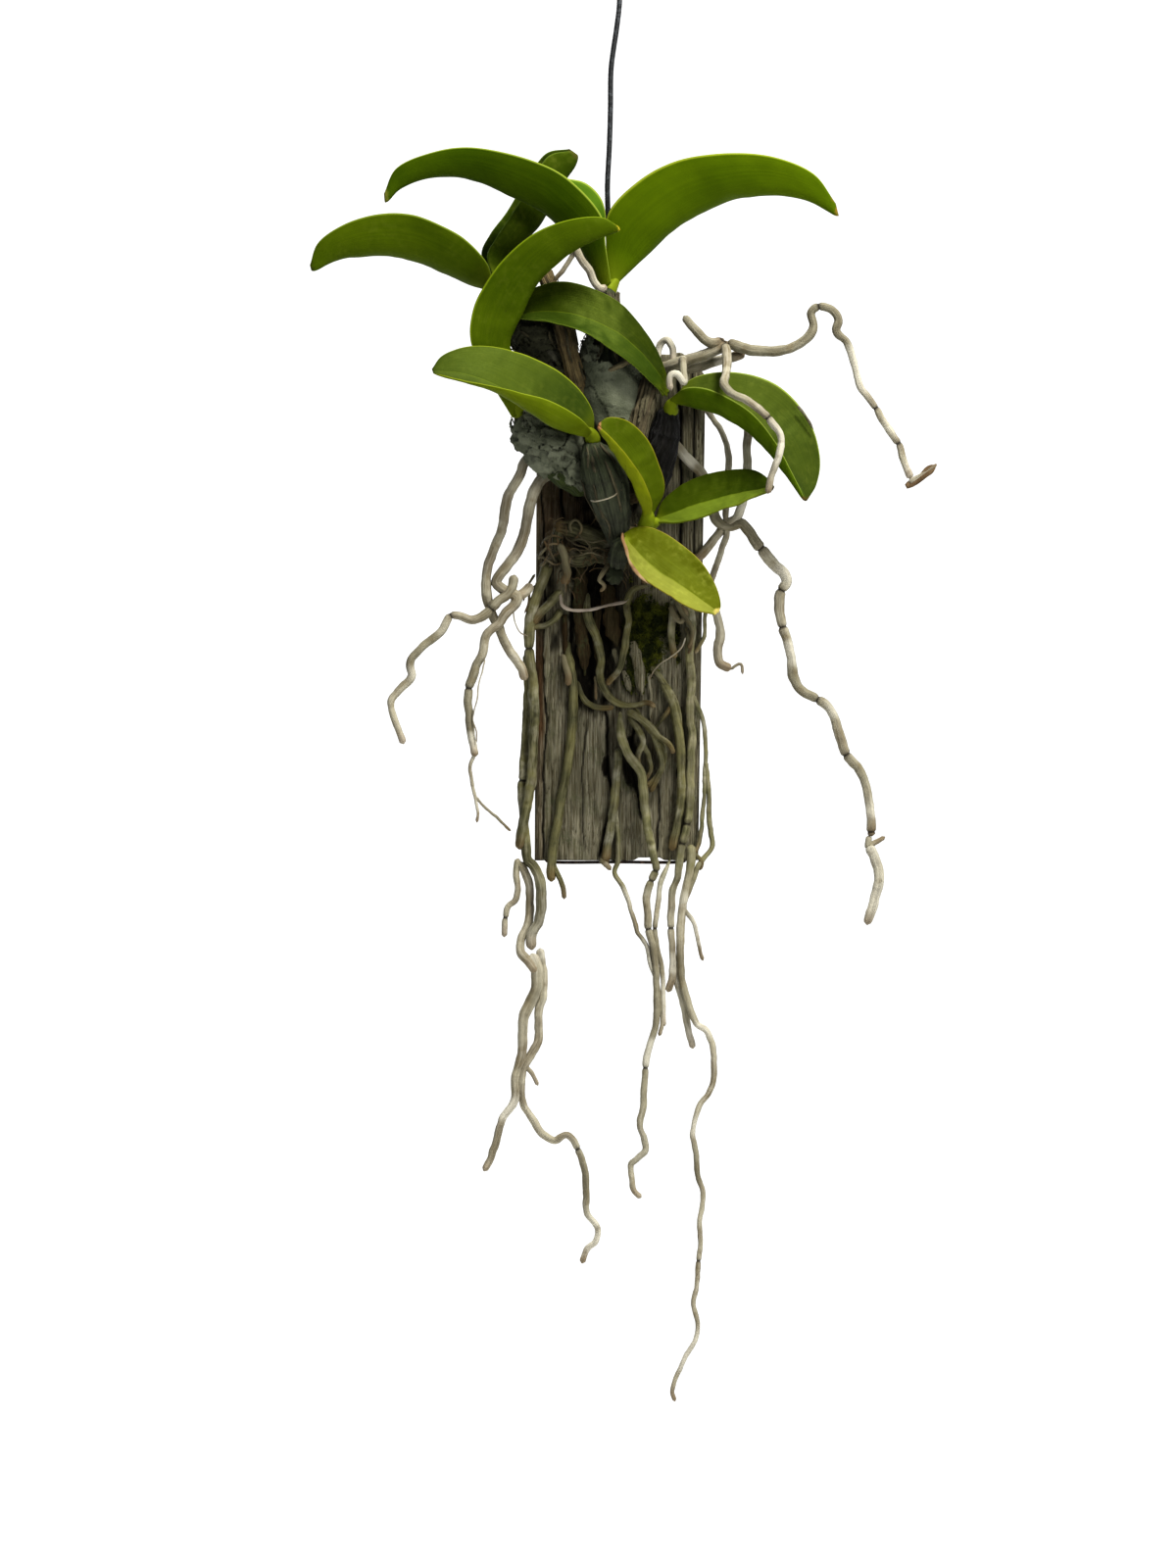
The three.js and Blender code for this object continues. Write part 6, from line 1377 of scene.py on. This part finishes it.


# Leaves: the colors in the order of LEAF_COLORS, where the tip starts, and how ripe the leaf is. The four
# colors of the halves and faces hold painted light and shade as well as each face's own green.
LEAF_LOOKS = {
    "leaf_top_left": ([(52, 74, 2), (46, 68, 2), (84, 112, 30), (70, 104, 24), (128, 142, 54),
        (120, 120, 50)], 0.988, 0.0),
    "leaf_top_right": ([(74, 96, 3), (54, 76, 2), (84, 112, 30), (70, 104, 24), (136, 148, 44),
        (120, 100, 36)], 0.988, 0.0),
    "leaf_left": ([(64, 82, 4), (44, 66, 4), (80, 110, 30), (66, 100, 24), (112, 126, 44),
        (44, 40, 18)], 0.985, 0.05),
    "leaf_back": ([(46, 64, 6), (38, 56, 5), (46, 64, 10), (36, 54, 8), (80, 98, 34),
        (70, 70, 30)], 0.98, 0.1),
    "leaf_arch": ([(58, 76, 3), (48, 68, 2), (84, 112, 30), (70, 104, 24), (108, 124, 22),
        (176, 160, 50)], 0.985, 0.05),
    "leaf_lower_left": ([(88, 102, 12), (58, 78, 8), (60, 74, 28), (45, 60, 18), (118, 128, 34),
        (20, 18, 12)], 0.99, 0.04),
    "leaf_center": ([(50, 72, 6), (40, 60, 5), (40, 58, 14), (26, 40, 4), (96, 112, 40),
        (100, 104, 44)], 0.985, 0.03),
    "leaf_right": ([(68, 90, 8), (48, 70, 6), (60, 82, 26), (42, 56, 18), (124, 138, 60),
        (84, 70, 36)], 0.985, 0.05),
    "leaf_small_center": ([(112, 120, 18), (74, 90, 8), (104, 114, 34), (64, 78, 8), (120, 116, 30),
        (150, 108, 76)], 0.97, 0.06),
    "leaf_small_right": ([(92, 112, 24), (60, 84, 10), (92, 108, 34), (40, 56, 4), (84, 90, 26),
        (44, 34, 20)], 0.98, 0.03),
    "leaf_bottom": ([(108, 110, 24), (84, 90, 8), (122, 124, 52), (72, 76, 4), (128, 118, 48),
        (186, 172, 96)], 0.98, 0.18),
}
YOUNG_LEAVES = ("leaf_small_center", "leaf_bottom")
for seed, (name, look) in enumerate(LEAF_LOOKS.items()):
    blade = make_leaf(name + "_blade", LEAVES[name], leaf_material(name + " skin", *look), seed + 1)
    ride_along(blade, "leaf_young" if name in YOUNG_LEAVES else "leaf_green", name)

# Bulbs and canes: slot, skin, lengthwise ribs as a count and a depth, rings, and bumps
gray_bulb = bulb_material("gray bulb skin", (78, 82, 62), (44, 48, 34), (40, 38, 28),
                          green=(62, 72, 34), green_share=0.4, specks=0.9)
green_bulb = bulb_material("green bulb skin", (74, 86, 36), (44, 56, 20), (40, 44, 20),
                           green=(84, 98, 30), green_share=0.7, specks=0.4)
fiber_bulb = bulb_material("fibrous bulb skin", (112, 110, 92), (50, 50, 40), (34, 30, 22), specks=0.3)
dark_bulb = bulb_material("dark bulb skin", (20, 17, 10), (7, 6, 4), (6, 5, 4), roughness=0.34)
brown_cane = bulb_material("brown cane skin", (136, 120, 82), (74, 60, 34), (36, 28, 16), specks=0.5)
tan_cane = bulb_material("tan cane skin", (112, 102, 76), (66, 58, 42), (44, 36, 26), specks=0.3)
BULB_LOOKS = {
    "bulb_center_back": ("bulb_skin", gray_bulb, (9, 0.03), (0.3, 0.86), 0.03),
    "bulb_left": ("bulb_skin", green_bulb, (11, 0.05), (0.2, 0.9), 0.05),
    "bulb_upper_left": ("old_bulb_skin", fiber_bulb, (14, 0.07), (0.22, 0.5, 0.8), 0.06),
    "cane_brown": ("cane", brown_cane, (9, 0.06), (0.2, 0.44, 0.66, 0.86), 0.05),
    "bulb_dark": ("dark_bulb", dark_bulb, (12, 0.05), (0.3, 0.7, 0.92), 0.04),
    "cane_tan": ("cane", tan_cane, (9, 0.09), (0.24, 0.5, 0.76), 0.05),
    "bulb_front": ("bulb_skin", gray_bulb, (13, 0.06), (0.28, 0.62, 0.9), 0.05),
    "bulb_small_right": ("bulb_skin", green_bulb, (8, 0.05), (0.4, 0.8), 0.04),
    "bulb_small_front": ("cane", gray_bulb, (8, 0.08), (0.5, 0.85), 0.06),
    "stub_cut": ("bulb_skin", gray_bulb, (8, 0.07), (0.4, 0.7), 0.06),
}
for seed, (name, (slot, skin, ribs, knots, bumps)) in enumerate(BULB_LOOKS.items()):
    body = make_rod(name + "_skin", BULBS[name], skin, ribs=ribs, knots=knots, bumps=bumps, seed=seed + 3)
    ride_along(body, slot, name)

# The short fleshy neck between a bulb and its leaf, as (x, y, z, radius) stops
NECKS = {
    "leaf_lower_left": [(-11.4, -26.6, 168.4, 3.1), (-11, -27.2, 171, 3.3), (-12.2, -29, 173.2, 2.6),
        (-14, -30.6, 174.4, 1.4)],
    "leaf_small_center": [(9.4, -22.6, 133.6, 3.2), (11, -24.6, 136.4, 3.4), (11.4, -27, 139.6, 2.8),
        (10.6, -29, 142.4, 1.4)],
    "leaf_right": [(20.6, -18.6, 180, 3.1), (20.8, -19.2, 183, 3.3), (21.8, -20.4, 185.4, 2.6),
        (23.6, -21.4, 186, 1.4)],
    "leaf_small_right": [(12.2, -23, 136, 2.4), (13.8, -24.2, 136.8, 2.5), (16.4, -25.2, 138, 1.4)],
    "leaf_top_right": [(-5.2, -11.6, 229, 3.1), (-4, -10.2, 232.4, 3.2), (-2.4, -9, 234.8, 2.4),
        (-0.6, -8.6, 237, 1.4)],
    "leaf_arch": [(-39.6, -16, 183, 3.5), (-40.6, -19.4, 182.4, 3.5), (-41.4, -22, 185.6, 2.6),
        (-42, -23.4, 190, 1.4)],
}
# A neck has no tip, so its tip color starts past its end
neck_skin = leaf_material("leaf neck skin", [(82, 96, 14)] * len(LEAF_COLORS), 2.0, 0.0)
for seed, (name, stops) in enumerate(NECKS.items()):
    neck = make_rod(name + "_neck", stops, neck_skin, sides=NECK_SIDES, bumps=0.02, seed=seed + 40)
    ride_along(neck, "leaf_green")

# Papery sheaths: the bulb, the solid that the paper stands for, finish, seed and torn layers
gray_paper = paper_material("gray paper", (122, 125, 106), (74, 78, 62), (26, 28, 19), 0.45)
# The dark paper on the upper left bulb is the old sheath painted partly as the deep shade among its loose
# strips
dark_paper = paper_material("old dark paper", (66, 66, 50), (28, 28, 20), (14, 13, 9), 0.7)
PAPERS = {
    "sheath_left_paper": ("bulb_left", ["sheath_left"], gray_paper, 5, [
        (0.36, 0.96, -112, 64, 0.2, 8), (0.1, 0.56, -44, 66, 0.4, 7.5), (0.44, 0.9, -100, -6, 0.9, 6.5),
        (0.08, 0.36, -22, 50, 0.9, 5), (0.6, 0.99, -34, 100, 0.8, 6)]),
    "sheath_center_paper": ("bulb_center_back", ["sheath_center"], gray_paper, 8, [
        (0.26, 0.62, -78, 84, 0.3, 17), (0.5, 0.8, -82, -20, 0.7, 4), (0.5, 0.84, 30, 88, 0.8, 4)]),
    "old_paper_upper_left": ("bulb_upper_left", [], dark_paper, 12, [
        (0.2, 0.6, -100, 20, 0.3, 5), (0.4, 0.86, -60, 90, 0.5, 4), (0.66, 0.95, -110, 10, 0.7, 4)]),
}
for name, (bulb, nodes, skin, seed, patches) in PAPERS.items():
    ride_along(make_paper(name, BULBS[bulb], patches, skin, seed), "papery_sheath", *nodes)

# Peeling strips: how many, degrees round the bulb, shares of its length, width and lift
STRIPS = {
    "bulb_center_back": (40, (-95, 95), (0.55, 0.97), 2.0, 3.2),
    "bulb_upper_left": (52, (-110, 110), (0.1, 0.97), 2.2, 4.4),
    "bulb_left": (16, (-110, 110), (0.7, 0.99), 2.0, 1.6),
    "cane_brown": (12, (-120, 120), (0.1, 0.9), 1.6, 1.0),
    "cane_tan": (14, (-100, 100), (0.1, 0.95), 1.6, 1.2),
    "bulb_front": (12, (-100, 100), (0.1, 0.95), 1.6, 0.6),
}
strip_skin = paper_material("bark strips", (112, 106, 84), (58, 54, 40), (28, 26, 18), 0.6)
for seed, (name, look) in enumerate(STRIPS.items()):
    ride_along(bark_strips(name + "_strips", BULBS[name], *look, strip_skin, 60 + seed), "papery_sheath")

# Roots by bunch: slot, skin, how much moss grows on the wood, and how much thicker they have grown
pale_root = root_material("aerial root skin", (160, 153, 130), (110, 99, 75), (118, 114, 78), (76, 76, 48))
mossy_root = root_material("mossy root skin", (116, 112, 84), (80, 74, 50), (94, 90, 54), (46, 46, 24))
ROOT_LOOKS = {
    "roots_left": ("root_pale", pale_root, 0.0, 1.0),
    "roots_left_edge": ("root_mossy", mossy_root, 0.7, 1.05),
    "roots_bottom_left": ("root_pale", pale_root, 0.4, 1.0),
    "root_mossy": ("root_mossy", mossy_root, 1.0, 1.05),
    "roots_front": ("root_mossy", mossy_root, 0.8, 1.0),
    "roots_bottom_center": ("root_pale", pale_root, 0.75, 1.0),
    "roots_right_edge": ("root_pale", pale_root, 0.65, 1.0),
    "roots_top_right": ("root_pale", pale_root, 0.0, 1.0),
    "roots_right": ("root_pale", pale_root, 0.1, 1.08),
    "old_spike": ("cane", pale_root, 0.0, 1.0),
}
# By bunch and number: roots that are thinner in their middle by a share, and roots that are gray
# over a first share of their length. Then the bunches whose roots start sunk in the wood.
SLIM_ROOTS = {("roots_right_edge", 5): 0.2, ("roots_top_right", 2): 0.14, ("roots_bottom_center", 0): 0.12}
GRAY_ROOTS = {("roots_top_right", 2): 0.5, ("roots_top_right", 4): 1, ("roots_top_right", 1): 0.6}
SUNK_ROOTS = ("root_mossy", "roots_front", "roots_bottom_center")
for seed, (name, (slot, skin, moss, growth)) in enumerate(ROOT_LOOKS.items()):
    lines = [root_line(growth * np.linspace(start, end, len(stops)), stops, moss, seed * 20 + number,
                       SLIM_ROOTS.get((name, number), 0.0), name in SUNK_ROOTS)
             for number, (start, end, stops) in enumerate(ROOT_BUNCHES[name])]
    for number, (_, marks) in enumerate(lines):
        gray = marks["reach"] < GRAY_ROOTS.get((name, number), 0) * marks["reach"][-1]
        marks["shade"] = np.where(gray, 1, marks["shade"])
        marks["white"] = np.where(gray, 0, marks["white"])
    ride_along(sweep_lines(name + "_skin", lines, skin, ROOT_SIDES, ROOT_LUMP_HEIGHT), slot, name)

# The creeping stem with its side stems
stem_bark = root_material("rhizome bark", (66, 60, 42), (42, 36, 24), (44, 44, 24), (26, 26, 14))
stems = [root_line([stop[3] for stop in stops], [stop[:3] for stop in stops], 0.8, 300 + number)
         for number, stops in enumerate(RHIZOME_STEMS)]
ride_along(sweep_lines("rhizome_bark", stems, stem_bark, STEM_SIDES, STEM_LUMP_HEIGHT, 2.0),
           "rhizome", "rhizome")

# The plank, with splinters of rotten wood on it and moss on its bark
gray_wood = wood_material("weathered wood", (196, 190, 166), (124, 119, 96), (72, 64, 44))
brown_wood = wood_material("rotten brown wood", (88, 72, 48), (58, 46, 28), (36, 28, 16))
moss_leaf = plain_material("moss leaves", (40, 46, 16), (88, 92, 28), 300.0, 0.85, Specular_IOR_Level=0.15)
plank = make_slab(gray_wood)
ride_along(plank, "weathered_wood", "slab")
add_splinters("brown_splinters", "weathered_wood", BROWN_SPLINTERS, brown_wood)
add_splinters("gray_splinters", "weathered_wood", GRAY_SPLINTERS, gray_wood)
grow_sprigs(plank, "bark_moss", "weathered_wood",
            {"Mark": "bark", "Density": 7e6, "Length": 0.0016, "Width": 0.0003, "Lean": 1.1, "Seed": 4,
             "Material": moss_leaf})

# Dead roots, rootlets, threads and hairs
dead_skin = root_material("dead root skin", (104, 96, 72), (62, 54, 36), (84, 80, 50), (48, 46, 26),
                          (146, 138, 112))
fiber_skin = root_material("dead fiber", (66, 58, 40), (42, 36, 24), (56, 52, 32), (38, 36, 20),
                           (150, 142, 116))
thread_skin = root_material("pale thread", (168, 160, 138), (140, 128, 104), (120, 114, 90), (90, 84, 60))
SMALL_GROWTH = {
    "dead_roots": ("root_pale", DEAD_ROOTS, dead_skin, 0.3, 8),
    "slab_rootlets": ("root_mossy", SLAB_ROOTLETS, mossy_root, 0.7, ROOT_SIDES),
    "threads": ("root_pale", THREADS, thread_skin, 0.0, HAIR_SIDES),
    "dead_fibers": ("rhizome", DEAD_FIBERS, fiber_skin, 0.3, HAIR_SIDES),
}
for seed, (name, (slot, growth, skin, moss, sides)) in enumerate(SMALL_GROWTH.items()):
    lines = [root_line(np.linspace(start, end, len(stops)), stops, moss, 500 + 30 * seed + number)
             for number, (start, end, stops) in enumerate(growth)]
    ride_along(sweep_lines(name, lines, skin, sides, 0.25), slot)
fuzz = fuzz_lines(RHIZOME_STEMS, FUZZ_COUNT, 11)
ride_along(sweep_lines("rhizome_fuzz", fuzz, fiber_skin, HAIR_SIDES, 0.2), "rhizome")

# The scar on a leaf, the dry leaf margin and the dry flap at a root's end
scar_skin = paper_material("leaf scar", (150, 148, 132), (84, 78, 60), (26, 20, 12), 0.6)
edge_skin = paper_material("dry leaf edge", (182, 158, 124), (128, 100, 70), (72, 50, 32), 0.4)
flap_skin = paper_material("dry root flap", (132, 112, 86), (88, 70, 48), (44, 34, 22), 0.5)
add_splinters("leaf_right_scar", "leaf_green", [LEAF_SCAR], scar_skin, 3)
add_splinters("leaf_bottom_dry_edge", "leaf_young", [DRY_EDGE], edge_skin, 9)
add_splinters("root_end_flap", "root_pale", [ROOT_FLAP], flap_skin, 5)

# Wires and the tie
black_coat = wire_material("black coated wire", (22, 24, 26), (70, 74, 78), 0.42)
rusted = wire_material("dark rusted wire", (46, 38, 32), (104, 78, 58), 0.7)
tie_fiber = paper_material("pale tie", (186, 176, 162), (146, 134, 120), (96, 84, 72))
hook = [(HOOK_RADIUS * math.cos(angle), HOOK_CENTER_HEIGHT + HOOK_RADIUS * math.sin(angle))
        for angle in np.radians(np.linspace(HOOK_DEGREES["from"], HOOK_DEGREES["to"], HOOK_STOPS))]
hanger = wire_line([(x, SLAB_THICKNESS / 2, z) for x, z in HANGER_SHANK + hook], WIRE_RADIUS, 0.25, 1)
ride_along(sweep_lines("hanger_wire_coat", [hanger], black_coat, WIRE_SIDES, 0.03), "wire", "hanger_wire")
staple = wire_line(STAPLE, STAPLE_RADIUS, 0.1, 2)
ride_along(sweep_lines("bottom_wire_metal", [staple], rusted, WIRE_SIDES, 0.05), "wire", "bottom_wire")
add_splinters("tie_strip_band", "tie", [(TIE_WIDTH, TIE_THICKNESS, TIE)], tie_fiber, 4, ["tie_strip"])

# Stage: a pale floor below the longest root, soft light and the camera
scene = bpy.context.scene
bpy.ops.mesh.primitive_circle_add(vertices=96, radius=FLOOR_RADIUS, fill_type="NGON",
                                  location=(0, 0, FLOOR_HEIGHT))
floor = bpy.context.object
floor.name = "floor"
floor.data.materials.append(plain_material("pale floor", (238, 238, 238), (244, 244, 244), 3.0, 0.9))

# The room looks white to the camera, and shines more softly on the plant
world = bpy.data.worlds.new("white room")
scene.world = world
world.use_nodes = True
world.node_tree.nodes.clear()
air = Nodes(world.node_tree)
seen = air.add("ShaderNodeBackground", {"Color": (1, 1, 1, 1), "Strength": 1.0})[0]
shining = air.add("ShaderNodeBackground", {"Color": (0.93, 0.96, 1, 1), "Strength": ROOM_LIGHT})[0]
to_camera = air.add("ShaderNodeLightPath")["Is Camera Ray"]
room = air.add("ShaderNodeMixShader", {0: to_camera, 1: shining, 2: seen})[0]
air.add("ShaderNodeOutputWorld", {"Surface": room})

# Round soft lamps: place, size in metres, power and color
LAMPS = {
    "sky": ((0.45, -0.6, 0.95), 0.4, 29, (1.0, 0.98, 0.93)),
    "front": ((1.2, -2.0, 0.2), 0.7, 18, (1.0, 0.99, 0.97)),
    "back": ((-1.0, 2.0, 0.4), 1.0, 22, (0.97, 0.99, 1.0)),
}
for name, (place, size, power, color) in LAMPS.items():
    light = bpy.data.lights.new(name, "AREA")
    light.shape = "DISK"
    light.size = size
    light.energy = power
    light.color = color
    lamp = bpy.data.objects.new(name, light)
    lamp.location = place
    lamp.rotation_euler = (Vector(PLANT_MIDDLE) - Vector(place)).to_track_quat("-Z", "Y").to_euler()
    scene.collection.objects.link(lamp)

camera = bpy.data.objects.new("camera", bpy.data.cameras.new("camera"))
camera.data.lens = CAMERA_LENS
camera.data.sensor_width = CAMERA_SENSOR
camera.data.clip_end = 100
camera.location = CAMERA_PLACE
camera.rotation_euler = (math.pi / 2, 0, 0)
scene.collection.objects.link(camera)
scene.camera = camera
scene.view_settings.view_transform = "Standard"
scene.view_settings.look = "Medium High Contrast"
